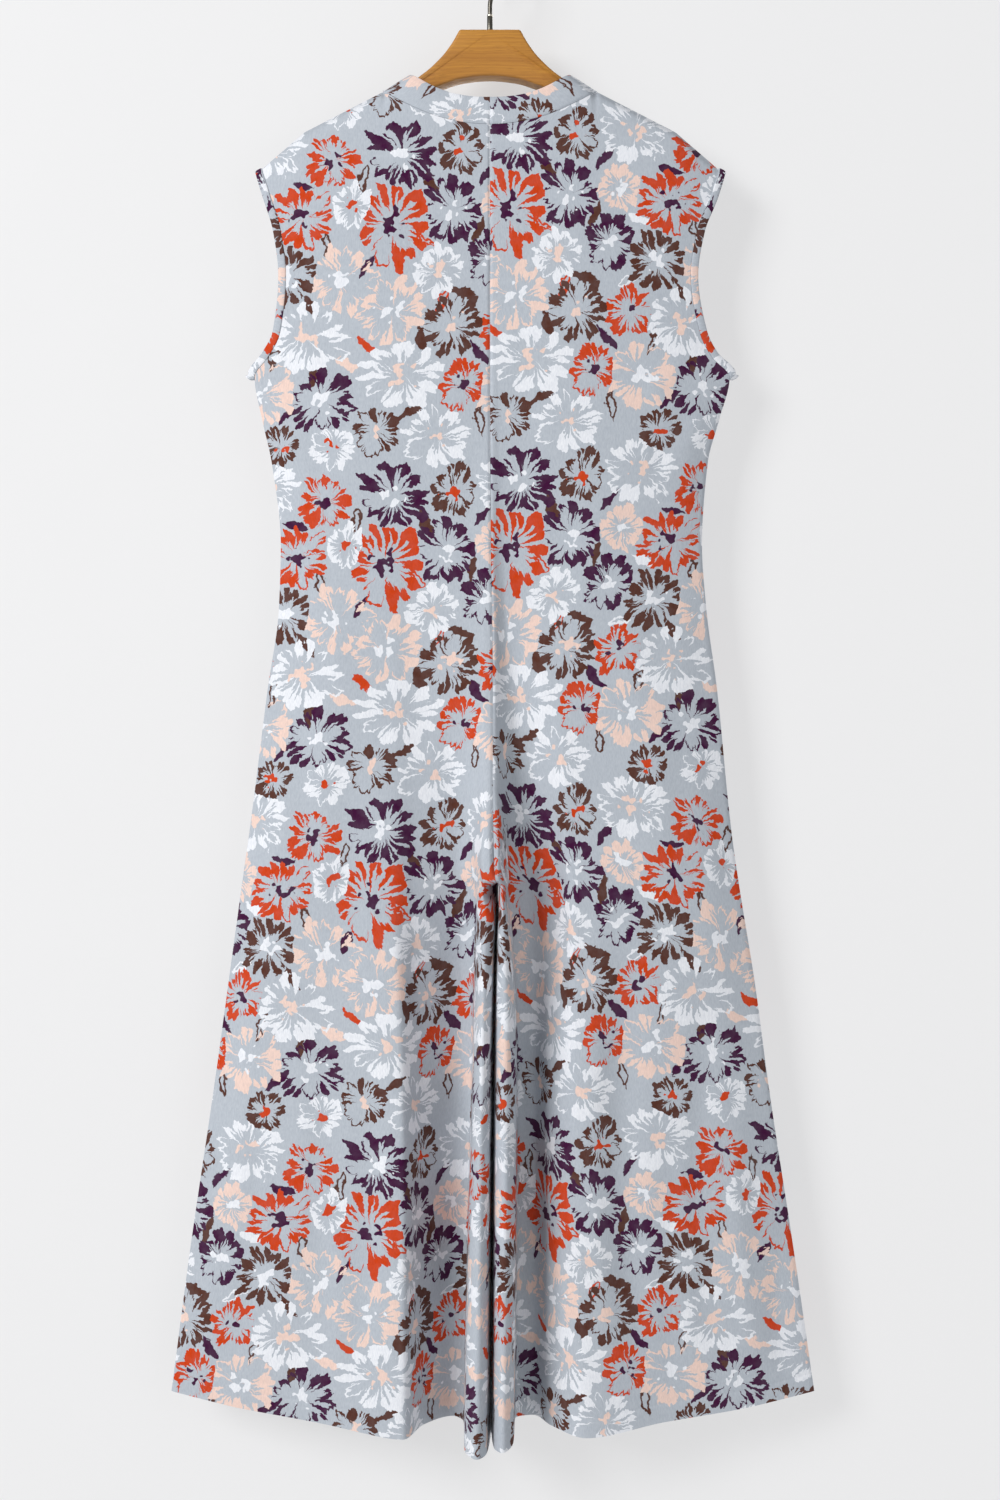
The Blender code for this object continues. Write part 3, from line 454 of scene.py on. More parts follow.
# ================================================================ curves and grids
def soft_curve(knots, values, at):
    """A smooth curve through values at knots that never overshoots them, read at each place."""
    knots = np.asarray(knots, float)
    values = np.asarray(values, float)
    steps = np.diff(knots)
    rises = np.diff(values) / steps
    slopes = np.zeros(len(knots))
    for k in range(1, len(knots) - 1):
        before, after = rises[k - 1], rises[k]
        if before * after > 0:
            near = 2 * steps[k] + steps[k - 1]
            far = steps[k] + 2 * steps[k - 1]
            slopes[k] = (near + far) / (near / before + far / after)
    slopes[0] = rises[0]
    slopes[-1] = rises[-1]
    at = np.asarray(at, float)
    k = np.clip(np.searchsorted(knots, at, side="right") - 1, 0, len(steps) - 1)
    t = (at - knots[k]) / steps[k]
    return (
        (1 + 2 * t) * (1 - t) ** 2 * values[k]
        + t * (1 - t) ** 2 * steps[k] * slopes[k]
        + t * t * (3 - 2 * t) * values[k + 1]
        + t * t * (t - 1) * steps[k] * slopes[k + 1]
    )


def unit(vectors):
    """Vectors made one long."""
    length = np.linalg.norm(vectors, axis=-1, keepdims=True)
    return vectors / np.maximum(length, 1e-12)


def run_lengths(ring):
    """Length of each step round a closed ring of points."""
    return np.linalg.norm(np.roll(ring, -1, axis=0) - ring, axis=1)


def softened(ring):
    """Directions round a closed ring, evened out three times with their neighbours."""
    for _ in range(3):
        ring = unit(np.roll(ring, 1, axis=0) + 2 * ring + np.roll(ring, -1, axis=0))
    return ring


def turn_of(side):
    """-1 for the left side and 1 for the right."""
    return -1 if side == "left" else 1


def smooth_share(value):
    """0 to 1 with soft ends."""
    value = np.clip(value, 0.0, 1.0)
    return value * value * (3 - 2 * value)


def dip(away, depth_and_width):
    """Depth of a soft trough at a distance away from its middle."""
    depth, width = depth_and_width
    return depth * np.exp(-((away / width) ** 2))


def shoulder_drop(across, corner):
    """Drop of the shoulder seam, straight over the hanger's arm and steeper past its end."""
    on_arm = np.minimum(across, ARM_END) - corner
    past_arm = np.maximum(across - ARM_END, 0.0)
    return NECK_CORNER_DROP + SHOULDER_SLOPE * on_arm + CAP_SLOPE * past_arm


def neckline_drop(across, corner, front):
    """Drop of the neckline: a round curve at the back and a straight V at the front."""
    share = np.clip(across / corner, 0.0, 1.0)
    if front:
        return V_DROP + (NECK_CORNER_DROP - V_DROP) * share
    return NECK_DROP + (NECK_CORNER_DROP - NECK_DROP) * share ** NECK_CURVE


def panel_rows(step):
    """Drops of a panel's rows: close at the shoulder, the crotch and the hem."""
    close = [TOP_ROW + below for below in ROWS_BELOW_TOP]
    crotch = [CROTCH_ROW + below for below in np.arange(-15.0, 9.1, 1.5)]
    hem = [HEM_ROW - above for above in ROWS_ABOVE_HEM]
    body = np.linspace(close[-1], crotch[0], round((crotch[0] - close[-1]) / step))[1:-1]
    legs = np.linspace(crotch[-1], hem[0], round((hem[0] - crotch[-1]) / step))[1:-1]
    return np.array([*close, *body, *crotch, *legs, *hem])


def crease_height(creases, across, drops):
    """How far the listed creases lift the cloth at each point."""
    lift = np.zeros_like(across)
    for across0, drop0, across1, drop1, width, height in creases:
        run = np.array((across1 - across0, drop1 - drop0), float)
        length = np.hypot(*run)
        along = ((across - across0) * run[0] + (drops - drop0) * run[1]) / length
        bow = CREASE_BOW * length * np.sin(math.pi * np.clip(along / length, 0, 1))
        aside = ((across - across0) * run[1] - (drops - drop0) * run[0]) / length + bow
        ends = smooth_share(along / (CREASE_STARTS * length))
        ends = ends * smooth_share((length - along) / (CREASE_ENDS * length))
        lift += height * ends * np.exp(-((aside / width) ** 2))
    return lift


def panel_surface(side, front):
    """Outer face of a panel: points in metres, the same points on the flat cloth, and its corner."""
    sizes = settings().jumpsuit_cloth
    table = SECTIONS[side, front]
    hem = np.array(HEMS[side, front], float)
    turn = turn_of(side)
    face = 1 if front else -1
    rows = panel_rows(sizes.down_step / MM)
    knots = [row[0] for row in table]
    pairs = np.array([row[1:] for row in table], float)
    sections = np.zeros((len(rows), pairs.shape[1] + 2, 2))
    for column in range(pairs.shape[1]):
        for part in (0, 1):
            sections[:, column + 1, part] = soft_curve(knots, pairs[:, column, part], rows)
    sections[:, 0, 1] = soft_curve(CENTRE[:, 0], CENTRE[:, 3 if front else 2], rows)
    sections[:, -1, 0] = soft_curve(SIDE[:, 0], SIDE[:, 1 if side == "left" else 2], rows)
    sections[:, -1, 1] = soft_curve(SIDE[:, 0], SIDE[:, 3], rows)
    seam_x = soft_curve(CENTRE[:, 0], CENTRE[:, 1], rows)
    chords = np.maximum(np.hypot(*np.moveaxis(np.diff(sections, axis=1), 2, 0)), LEAST_WIDTH)
    lengths = np.concatenate([np.zeros((len(rows), 1)), np.cumsum(chords, axis=1)], axis=1)
    counts = np.ceil(np.percentile(chords, 96, axis=0) / (sizes.across_step / MM)).astype(int)
    marks = [place + part / count for place, count in enumerate(counts) for part in range(count)]
    last = len(counts)
    marks = np.array(marks + [last - near for near in CLOSE_TO_SIDE])
    corner_mark = RIDGE_COLUMN[front]
    corner = table[0][corner_mark][0]
    across = np.zeros((len(rows), len(marks)))
    proud = np.zeros_like(across)
    for r in range(len(rows)):
        places = np.interp(marks, range(last + 1), lengths[r])
        across[r] = soft_curve(lengths[r], sections[r, :, 0], places)
        proud[r] = soft_curve(lengths[r], sections[r, :, 1], places)
    tops = np.where(
        marks <= corner_mark,
        neckline_drop(across[0], corner, front),
        shoulder_drop(across[0], corner),
    )
    top_shift = tops - TOP_ROW
    top_shift[-1] = 0.0
    hem_shift = soft_curve(range(len(hem)), hem - HEM_ROW, marks)
    top_share = np.maximum(0.0, 1.0 - (rows - TOP_ROW) / TOP_FADE)
    hem_share = np.maximum(0.0, (rows - CROTCH_ROW) / (HEM_ROW - CROTCH_ROW))
    drops = rows[:, None] + np.outer(top_share, top_shift) + np.outer(hem_share, hem_shift)
    steps = np.hypot(np.diff(across, axis=1), np.diff(proud, axis=1))
    arc = np.concatenate([np.zeros((len(rows), 1)), np.cumsum(steps, axis=1)], axis=1)
    to_side = arc[:, -1:] - arc
    # the pressed seams dip in, the hem's stitching pulls in, and the creases lie over all of it
    on_body = (rows <= CROTCH_ROW - 12)[:, None]
    on_side = (rows > UNDERARM_ROW)[:, None]
    above_hem = HEM_ROW - rows[:, None] - sizes.hem_depth / MM
    proud = proud - np.where(on_body, dip(arc, CENTRE_DIP), 0.0)
    proud = proud - np.where(on_side, dip(to_side, SIDE_DIP), 0.0) - dip(above_hem, HEM_DIP)
    proud = proud + HEM_STEP * smooth_share(-above_hem / HEM_STEP_WIDTH)
    quiet = smooth_share(arc / QUIET_CENTRE) * smooth_share(to_side / QUIET_SIDE)
    quiet = quiet * smooth_share((rows[:, None] - TOP_ROW) / QUIET_TOP)
    creases = crease_height(CREASES[side, front], across, drops)
    proud = proud + sizes.crease_share * quiet * creases
    x = seam_x[:, None] * np.maximum(0.0, 1.0 - across / SEAM_SHIFT_REACH) + turn * across
    edge = np.where(rows <= CROTCH_ROW, SEAM_GAP, LEG_CLEARANCE)
    x[:, 0] += turn * edge / 2
    if front:
        below = smooth_share((rows - CROTCH_ROW) / LEG_LEAN_DROP)[:, None]
        turned = smooth_share((proud - proud[:, :1]) / LEG_LEAN_DEPTH)
        x = x + LEG_LEAN * below * turned * np.maximum(0.0, 1.0 - across / LEG_LEAN_REACH)
    y = face * (proud + SEAM_GAP / 2)
    points = np.stack([x, y, -(drops + HOOK_TO_WOOD)], axis=2) * MM
    # on the flat cloth, u runs to the right of someone facing the panel and v runs up
    grain = int(np.searchsorted(marks, corner_mark))
    flat_across = (corner + arc - arc[:, grain:grain + 1]) * turn
    u = -face * (flat_across - turn * math.tan(LEAN) * drops) * MM
    v = -(drops * MM + SAG * (drops * MM) ** 2 / 2) * PRINT_CLOSE
    start = PRINT_START[side, front]
    flat = np.stack([u + start[0], v + start[1]], axis=2)
    return points, flat, grain


# ================================================================ mesh helpers
def clear_selection():
    """Leave nothing selected and nothing active."""
    for item in bpy.context.view_layer.objects.selected:
        item.select_set(False)
    bpy.context.view_layer.objects.active = None


def make_active(piece):
    """Select only this piece and make it active."""
    clear_selection()
    piece.select_set(True)
    bpy.context.view_layer.objects.active = piece


def pull_up(name, sides, radius, foot, steps):
    """A turned shape: a disc pulled up in steps, each with its own rise and narrowing."""
    clear_selection()
    bpy.ops.mesh.primitive_circle_add(
        vertices=sides, radius=radius, fill_type="NGON", location=(0.0, 0.0, foot))
    piece = bpy.context.object
    piece.name = piece.data.name = name
    bpy.ops.object.transform_apply(location=True, rotation=True, scale=True)
    bpy.ops.object.mode_set(mode="EDIT")
    bpy.ops.mesh.select_all(action="SELECT")
    for rise, scale in steps:
        bpy.ops.mesh.extrude_region_move(TRANSFORM_OT_translate={"value": (0.0, 0.0, rise)})
        bpy.ops.transform.resize(value=(scale, scale, 1.0), center_override=(0.0, 0.0, foot))
    bpy.ops.mesh.select_all(action="SELECT")
    bpy.ops.mesh.normals_make_consistent(inside=False)
    bpy.ops.object.mode_set(mode="OBJECT")
    return piece


def apply_modifiers(piece):
    """Apply every modifier on a piece, in order."""
    make_active(piece)
    for modifier in list(piece.modifiers):
        bpy.ops.object.modifier_apply(modifier=modifier.name)


def smooth_faces(piece, degrees):
    """Shade a piece smooth, with edges sharper than the angle left crisp."""
    make_active(piece)
    bpy.ops.object.shade_smooth_by_angle(angle=math.radians(degrees))


def grid_mesh(name, points, flat):
    """A mesh from a grid of points, with a cloth map that says where each lies on the flat cloth."""
    rows, columns = points.shape[:2]
    index = np.arange(rows * columns).reshape(rows, columns)
    a, b = index[:-1, :-1], index[:-1, 1:]
    c, d = index[1:, 1:], index[1:, :-1]
    faces = np.stack([a, d, c, b], axis=2).reshape(-1, 4)
    mesh = bpy.data.meshes.new(name)
    mesh.from_pydata(points.reshape(-1, 3).tolist(), [], faces.tolist())
    corners = np.stack([flat[:-1, :-1], flat[1:, :-1], flat[1:, 1:], flat[:-1, 1:]], axis=2)
    layer = mesh.uv_layers.new(name="cloth")
    layer.data.foreach_set("uv", corners.reshape(-1).astype(np.float32))
    return mesh


def face_out(mesh, direction):
    """Turn a sheet's faces so that, on the whole, they look along the direction."""
    bm = bmesh.new()
    bm.from_mesh(mesh)
    total = sum((item.normal * item.calc_area() for item in bm.faces), Vector())
    if total.dot(Vector(direction)) < 0:
        bmesh.ops.reverse_faces(bm, faces=bm.faces)
    bm.to_mesh(mesh)
    bm.free()


def add_piece(name, mesh, materials):
    """Link a mesh as a named piece that moves with the object's one body."""
    piece = bpy.data.objects.new(name, mesh)
    bpy.context.collection.objects.link(piece)
    for material in materials:
        mesh.materials.append(material)
    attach(piece, "root")
    return piece


def band_mesh(name, feet, tips, inward, flat_start, bulge, loop_steps):
    """A folded band standing on a closed line of feet: rounded edges, a slight bulge outside."""
    wall = BAND_WALL * MM
    width = np.linalg.norm(tips - feet, axis=1)
    run = run_lengths(feet)
    place = np.concatenate([[0.0], np.cumsum(run)[:-1]])
    up = unit(tips - feet)
    rim = wall / 2
    inset = FOOT_ROUNDING * rim
    profile = []
    for step in range(loop_steps + 1):
        share = step / loop_steps
        profile.append((share, 0.0, -bulge * math.sin(math.pi * share), 0.0))
    for angle in (45, 90, 135):
        turned = math.radians(angle)
        profile.append((1.0, rim * math.sin(turned), rim * (1 - math.cos(turned)), rim * turned))
    for step in range(loop_steps + 1):
        share = 1 - step / loop_steps
        profile.append((share, 0.0, wall, math.pi * rim))
    for angle in (135, 90, 45):
        turned = math.radians(angle)
        profile.append((0.0, -inset * math.sin(turned), rim * (1 - math.cos(turned)), 0.0))
    profile.append(profile[0])
    rings, flats = [], []
    for share, beyond, depth, extra in profile:
        reach = inset + (width - inset - rim) * share + beyond
        rings.append(feet + up * reach[:, None] + inward * depth)
        flats.append(np.stack([place + flat_start[0], width * share + extra + flat_start[1]], axis=1))
    points = np.stack(rings[:-1], axis=1)
    flat = np.stack(flats, axis=1)
    count, sides = points.shape[:2]
    index = np.arange(count * sides).reshape(count, sides)
    faces, corners = [], []
    for k in range(count):
        after = (k + 1) % count
        shift = np.array((run[k], 0.0))
        for s in range(sides):
            t = (s + 1) % sides
            faces.append((index[k, s], index[after, s], index[after, t], index[k, t]))
            corners += [flat[k, s], flat[k, s] + shift, flat[k, s + 1] + shift, flat[k, s + 1]]
    mesh = bpy.data.meshes.new(name)
    mesh.from_pydata(points.reshape(-1, 3).tolist(), [], np.array(faces).tolist())
    layer = mesh.uv_layers.new(name="cloth")
    layer.data.foreach_set("uv", np.array(corners).reshape(-1).astype(np.float32))
    close_and_turn(mesh)
    return mesh


def close_and_turn(mesh):
    """Face a closed mesh outward."""
    bm = bmesh.new()
    bm.from_mesh(mesh)
    bmesh.ops.recalc_face_normals(bm, faces=bm.faces)
    if bm.calc_volume(signed=True) < 0:
        bmesh.ops.reverse_faces(bm, faces=bm.faces)
    bm.to_mesh(mesh)
    bm.free()


# ================================================================ shader building
def shade(colour, share):
    """A colour made darker or brighter by a share."""
    return tuple(min(1.0, part * share) for part in colour)


class Graph:
    """Adds shader nodes to a tree and joins them, so that a material reads from top to bottom."""

    def __init__(self, tree):
        self.tree = tree

    def add(self, kind, *inputs, **choices):
        """A node of a kind; each input is a value, a socket to join, or None to leave alone."""
        node = self.tree.nodes.new(kind)
        for name, value in choices.items():
            setattr(node, name, value)
        for socket, value in zip(node.inputs, inputs):
            self.feed(socket, value)
        return node

    def feed(self, socket, value):
        """Set a socket's value, or join it to another socket."""
        if isinstance(value, bpy.types.NodeSocket):
            self.tree.links.new(value, socket)
        elif value is not None:
            socket.default_value = value

    def math(self, operation, *inputs, clamp=False):
        """A Math node's result."""
        return self.add("ShaderNodeMath", *inputs, operation=operation, use_clamp=clamp).outputs[0]

    def vector(self, operation, *inputs):
        """A Vector Math node's vector."""
        return self.add("ShaderNodeVectorMath", *inputs, operation=operation).outputs[0]

    def length(self, vector):
        """The length of a vector."""
        return self.add("ShaderNodeVectorMath", vector, operation="LENGTH").outputs["Value"]

    def noise(self, place, scale, detail=2.0, dimensions="3D", colour=False):
        """A noise texture's value or colour."""
        node = self.add("ShaderNodeTexNoise", noise_dimensions=dimensions)
        self.feed(node.inputs["Vector"], place)
        node.inputs["Scale"].default_value = scale
        node.inputs["Detail"].default_value = detail
        return node.outputs["Color" if colour else "Fac"]

    def range(self, value, low, high, new_low=0.0, new_high=1.0):
        """A value mapped from one range to another, kept within it."""
        return self.add("ShaderNodeMapRange", value, low, high, new_low, new_high).outputs[0]

    def mix(self, share, first, second, blend="MIX"):
        """Two colours mixed by a share."""
        node = self.add("ShaderNodeMix", data_type="RGBA", blend_type=blend)
        self.feed(node.inputs["Factor"], share)
        for socket, value in ((node.inputs[6], first), (node.inputs[7], second)):
            if not isinstance(value, bpy.types.NodeSocket):
                value = (*value, 1.0)
            self.feed(socket, value)
        return node.outputs[2]

    def choose(self, share, first, second):
        """One of two vectors."""
        node = self.add("ShaderNodeMix", data_type="VECTOR")
        self.feed(node.inputs["Factor"], share)
        self.feed(node.inputs[4], first)
        self.feed(node.inputs[5], second)
        return node.outputs[1]

    def steps(self, share, colours):
        """One of several colours, by equal steps of a share from 0 to 1."""
        node = self.add("ShaderNodeValToRGB", share)
        ramp = node.color_ramp
        ramp.interpolation = "CONSTANT"
        for k, colour in enumerate(colours):
            stop = ramp.elements[k] if k < 2 else ramp.elements.new(k / len(colours))
            stop.position = k / len(colours)
            stop.color = (*colour, 1.0)
        return node.outputs["Color"]

    def bump(self, height, strength, distance):
        """A normal raised by a height."""
        node = self.add("ShaderNodeBump")
        node.inputs["Strength"].default_value = strength
        node.inputs["Distance"].default_value = distance
        self.feed(node.inputs["Height"], height)
        return node.outputs[0]

    def group(self, name, **inputs):
        """A node group in this tree, with its named inputs set or joined."""
        node = self.tree.nodes.new("ShaderNodeGroup")
        node.node_tree = bpy.data.node_groups[name]
        for socket, value in inputs.items():
            self.feed(node.inputs[socket.replace("_", " ")], value)
        return node


def new_group(name, inputs, outputs):
    """A shader node group with named sockets; returns its graph, its inputs and its output node."""
    tree = bpy.data.node_groups.new(name, "ShaderNodeTree")
    for socket, kind in inputs:
        tree.interface.new_socket(socket, in_out="INPUT", socket_type=kind)
    for socket, kind in outputs:
        tree.interface.new_socket(socket, in_out="OUTPUT", socket_type=kind)
    given = tree.nodes.new("NodeGroupInput")
    result = tree.nodes.new("NodeGroupOutput")
    return Graph(tree), given.outputs, result.inputs


def new_material(name):
    """A material with a Principled BSDF; returns it, its graph and its shader."""
    material = bpy.data.materials.new(name)
    material.use_nodes = True
    return material, Graph(material.node_tree), material.node_tree.nodes["Principled BSDF"]


def nearest_motif(graph, place, motifs):
    """Where a point lies in the motif nearest to it, and that motif's number as a share of the list."""
    half = (REPEAT_ACROSS / 2, REPEAT_UP / 2, 1.0)
    minus_half = (-REPEAT_ACROSS / 2, -REPEAT_UP / 2, -1.0)
    best_spot, best_reach, best_number = None, None, None
    for number, (x, y, reach_x, reach_y, turn) in enumerate(motifs):
        away = graph.vector("SUBTRACT", place, (x * MM, -y * MM, 0.0))
        away = graph.vector("WRAP", away, half, minus_half)
        if turn:
            spin = graph.add("ShaderNodeVectorRotate", away, rotation_type="Z_AXIS")
            spin.inputs["Angle"].default_value = math.radians(turn)
            away = spin.outputs[0]
        spot = graph.vector("DIVIDE", away, (reach_x * MM, reach_y * MM, 1.0))
        reach = graph.length(spot)
        share = (number + 0.5) / len(motifs)
        if best_spot is None:
            best_spot, best_reach, best_number = spot, reach, share
            continue
        nearer = graph.math("LESS_THAN", reach, best_reach)
        best_spot = graph.choose(nearer, best_spot, spot)
        change = graph.math("SUBTRACT", share, best_number)
        best_number = graph.math("MULTIPLY_ADD", nearer, change, best_number)
        best_reach = graph.math("MINIMUM", reach, best_reach)
    return best_spot, best_number


def build_brush_flower():
    """Node group: one brush-drawn flower, as a mask of its petals and a mask of its heart."""
    graph, given, result = new_group(
        "Brush flower",
        (("Spot", "NodeSocketVector"), ("Petals", "NodeSocketFloat"), ("Seed", "NodeSocketFloat"),
         ("Blot", "NodeSocketFloat")),
        (("Petal mask", "NodeSocketFloat"), ("Heart mask", "NodeSocketFloat")),
    )
    spot, petals, seed, blot = (given[k] for k in range(4))
    radius = graph.length(spot)
    facing = graph.vector("NORMALIZE", spot)
    parts = graph.add("ShaderNodeSeparateXYZ", spot)
    angle = graph.math("ARCTAN2", parts.outputs[1], parts.outputs[0])
    angle = graph.math("MULTIPLY", angle, 0.5 / math.pi)
    offset = graph.math("MULTIPLY", seed, 9.0)
    wobble = graph.math("SINE", graph.math("MULTIPLY_ADD", angle, 4 * math.pi, offset))
    turns = graph.math("MULTIPLY_ADD", angle, petals, graph.math("MULTIPLY_ADD", wobble, 0.36, seed))
    number = graph.math("FLOORED_MODULO", graph.math("FLOOR", turns), petals)
    aside = graph.math("ABSOLUTE", graph.math("SUBTRACT", graph.math("FRACT", turns), 0.5))
    aside = graph.math("MULTIPLY", aside, 2.0)
    key = graph.add("ShaderNodeCombineXYZ", number, seed, 0.0).outputs[0]
    chance = graph.add("ShaderNodeTexWhiteNoise", key, noise_dimensions="2D")
    luck = graph.add("ShaderNodeSeparateColor", chance.outputs["Color"])
    # brush streaks run outward from the middle
    outward = graph.math("MULTIPLY_ADD", radius, 1.2, graph.math("MULTIPLY", seed, 13.0))
    lift = graph.add("ShaderNodeCombineXYZ", 0.0, 0.0, outward).outputs[0]
    ray = graph.vector("MULTIPLY_ADD", facing, (6.4, 6.4, 0.0), lift)
    streak = graph.math("SUBTRACT", graph.noise(ray, 1.0, 1.0), 0.5)
    start = graph.math("MULTIPLY_ADD", luck.outputs[1], 0.20, 0.42)
    tip = graph.math("MULTIPLY_ADD", luck.outputs[0], -0.28, 1.15)
    reach = graph.math("SUBTRACT", tip, start)
    along = graph.math("DIVIDE", graph.math("SUBTRACT", radius, start), reach)
    inside = graph.math("MAXIMUM", along, 0.0)
    widening = graph.math("MULTIPLY_ADD", inside, 1.20, 0.42)
    gap = graph.math("MULTIPLY", graph.math("POWER", aside, 1.6), widening)
    outline = graph.math("SUBTRACT", graph.math("SUBTRACT", 1.02, gap), graph.math("POWER", inside, 2.6))
    outline = graph.math("MULTIPLY_ADD", streak, 2.7, outline)
    root = graph.math("MULTIPLY_ADD", streak, 3.8, graph.math("SUBTRACT", along, 0.02))
    ink = graph.math("MINIMUM", outline, root)
    # now and then a petal is only outlined
    open_petal = graph.math("GREATER_THAN", luck.outputs[2], 0.84)
    hollow = graph.math("MULTIPLY", open_petal, graph.range(outline, 0.42, 0.50))
    mask = graph.math("MULTIPLY", graph.range(ink, 0.0, 0.07), graph.math("SUBTRACT", 1.0, hollow))
    graph.feed(result[0], mask)
    heart = graph.math("SUBTRACT", graph.math("MULTIPLY_ADD", blot, 1.15, 0.175), radius)
    graph.feed(result[1], graph.range(heart, 0.0, 0.03))


def build_leaf_stroke():
    """Node group: one leaf laid in with two strokes that leave a sliver between them."""
    graph, given, result = new_group(
        "Leaf stroke",
        (("Spot", "NodeSocketVector"), ("Blot", "NodeSocketFloat"), ("Seed", "NodeSocketFloat")),
        (("Leaf mask", "NodeSocketFloat"),),
    )
    parts = graph.add("ShaderNodeSeparateXYZ", given[0])
    along = graph.math("ABSOLUTE", parts.outputs[0])
    aside = graph.math("ABSOLUTE", graph.math("MULTIPLY_ADD", along, -0.35, parts.outputs[1]))
    full = graph.math("SUBTRACT", 1.0, graph.math("POWER", along, 2.0))
    body = graph.math("SUBTRACT", graph.math("MULTIPLY_ADD", given[1], 1.4, full), aside)
    chance = graph.math("FRACT", graph.math("MULTIPLY", given[2], 7.3))
    open_side = graph.math("GREATER_THAN", chance, 0.62)
    sliver = graph.math("MULTIPLY", open_side, graph.range(body, 0.50, 0.60))
    mask = graph.math("MULTIPLY", graph.range(body, 0.0, 0.12), graph.math("SUBTRACT", 1.0, sliver))
    graph.feed(result[0], mask)


def build_floral_print():
    """Node group: the whole print, colour by colour, on the flat cloth."""
    inks = settings().jumpsuit_inks
    palette = {ink: tuple(getattr(inks, ink)) for ink in INKS}
    graph, given, result = new_group(
        "Floral print", (("Place", "NodeSocketVector"),),
        (("Color", "NodeSocketColor"), ("Ink", "NodeSocketFloat")),
    )
    place = given[0]
    drawn = place
    for scale, reach in ((52.0, PRINT_DRIFT), (300.0, PRINT_RAGGED)):
        wander = graph.noise(place, scale, 1.0, "2D", True)
        wander = graph.vector("SUBTRACT", wander, (0.5, 0.5, 0.5))
        drawn = graph.vector("MULTIPLY_ADD", wander, reach, drawn)
    blot = graph.math("SUBTRACT", graph.noise(place, 105.0, 1.0, "2D"), 0.5)
    leaf_spot, leaf_number = nearest_motif(graph, drawn, [row[:5] for row in LEAVES])
    leaf = graph.group("Leaf stroke", Spot=leaf_spot, Blot=blot, Seed=leaf_number)
    leaf_ink = graph.steps(leaf_number, [palette[row[5]] for row in LEAVES])
    colour = graph.mix(leaf.outputs[0], tuple(inks.ground), leaf_ink)
    spot, number = nearest_motif(graph, drawn, [(*row[:4], 0) for row in FLOWERS])
    most = max(row[4] for row in FLOWERS)
    petals = graph.steps(number, [(row[4] / most,) * 3 for row in FLOWERS])
    petals = graph.math("ROUND", graph.math("MULTIPLY", petals, float(most)))
    flower = graph.group("Brush flower", Spot=spot, Petals=petals, Seed=number, Blot=blot)
    petal_ink = graph.steps(number, [palette[row[5]] for row in FLOWERS])
    heart_ink = graph.steps(number, [palette[row[6]] for row in FLOWERS])
    colour = graph.mix(flower.outputs[0], colour, petal_ink)
    colour = graph.mix(flower.outputs[1], colour, heart_ink)
    inked = graph.math("MAXIMUM", flower.outputs[0], flower.outputs[1])
    inked = graph.math("MAXIMUM", inked, leaf.outputs[0])
    mottle = graph.noise(place, 85.0, 3.0, "2D")
    colour = graph.mix(graph.range(mottle, 0.3, 0.7, 0.0, 0.05), colour, tuple(inks.ground))
    graph.feed(result[0], colour)
    graph.feed(result[1], inked)


def build_knit_grain():
    """Node group: the fine upright ribs of a crepe knit, as a height, and as a share for painted shade
    that darkens the ribs' low places.
    """
    graph, given, result = new_group(
        "Knit grain", (("Place", "NodeSocketVector"),),
        (("Height", "NodeSocketFloat"), ("Shade", "NodeSocketFloat")),
    )
    ribs = graph.noise(graph.vector("MULTIPLY", given[0], (1250.0, 260.0, 1.0)), 1.0, 1.0, "2D")
    crepe = graph.noise(graph.vector("MULTIPLY", given[0], (520.0, 130.0, 1.0)), 1.0, 2.0, "2D")
    both = graph.math("MULTIPLY_ADD", ribs, 0.55, graph.math("MULTIPLY", crepe, 0.45))
    graph.feed(result[0], both)
    # the same height read as painted shade: the knit's low places come out darker
    graph.feed(result[1], graph.range(both, 0.34, 0.66))


def cloth_material(name, wrong_side=False):
    """The printed knit, or its paler wrong side where the print only shows through."""
    inks = settings().jumpsuit_inks
    material, graph, shader = new_material(name)
    place = graph.add("ShaderNodeUVMap", uv_map="cloth").outputs[0]
    pattern = graph.group("Floral print", Place=place)
    grain = graph.group("Knit grain", Place=place)
    colour = pattern.outputs["Color"]
    if wrong_side:
        colour = graph.mix(0.62, colour, tuple(0.35 + 0.6 * part for part in inks.ground))
    # painted shade: where the knit's ribs are low the print is darkened to about 0.87 of its colour
    painted_rib_shade = graph.mix(1.0, colour, (0.86, 0.87, 0.89), "MULTIPLY")
    colour = graph.mix(grain.outputs["Shade"], painted_rib_shade, colour)
    graph.feed(shader.inputs["Base Color"], colour)
    graph.feed(shader.inputs["Roughness"], graph.range(pattern.outputs["Ink"], 0.0, 1.0, 0.90, 0.82))
    shader.inputs["Specular IOR Level"].default_value = 0.12
    shader.inputs["Sheen Weight"].default_value = 0.05
    shader.inputs["Sheen Roughness"].default_value = 0.45
    graph.feed(shader.inputs["Normal"], graph.bump(grain.outputs["Height"], 0.55, 0.00035))
    return material


def thread_material(name):
    """Spun sewing thread, with a twist too fine to model."""
    inks = settings().jumpsuit_inks
    material, graph, shader = new_material(name)
    place = graph.add("ShaderNodeTexCoord").outputs["Object"]
    twist = graph.noise(graph.vector("SCALE", place, None, None, 1800.0), 1.0, 1.0)
    colour = graph.mix(twist, shade(inks.thread, 0.8), shade(inks.thread, 1.25))
    graph.feed(shader.inputs["Base Color"], colour)
    graph.feed(shader.inputs["Roughness"], graph.range(twist, 0.3, 0.7, 0.5, 0.7))
    graph.feed(shader.inputs["Normal"], graph.bump(twist, 0.4, 0.0001))
    return material


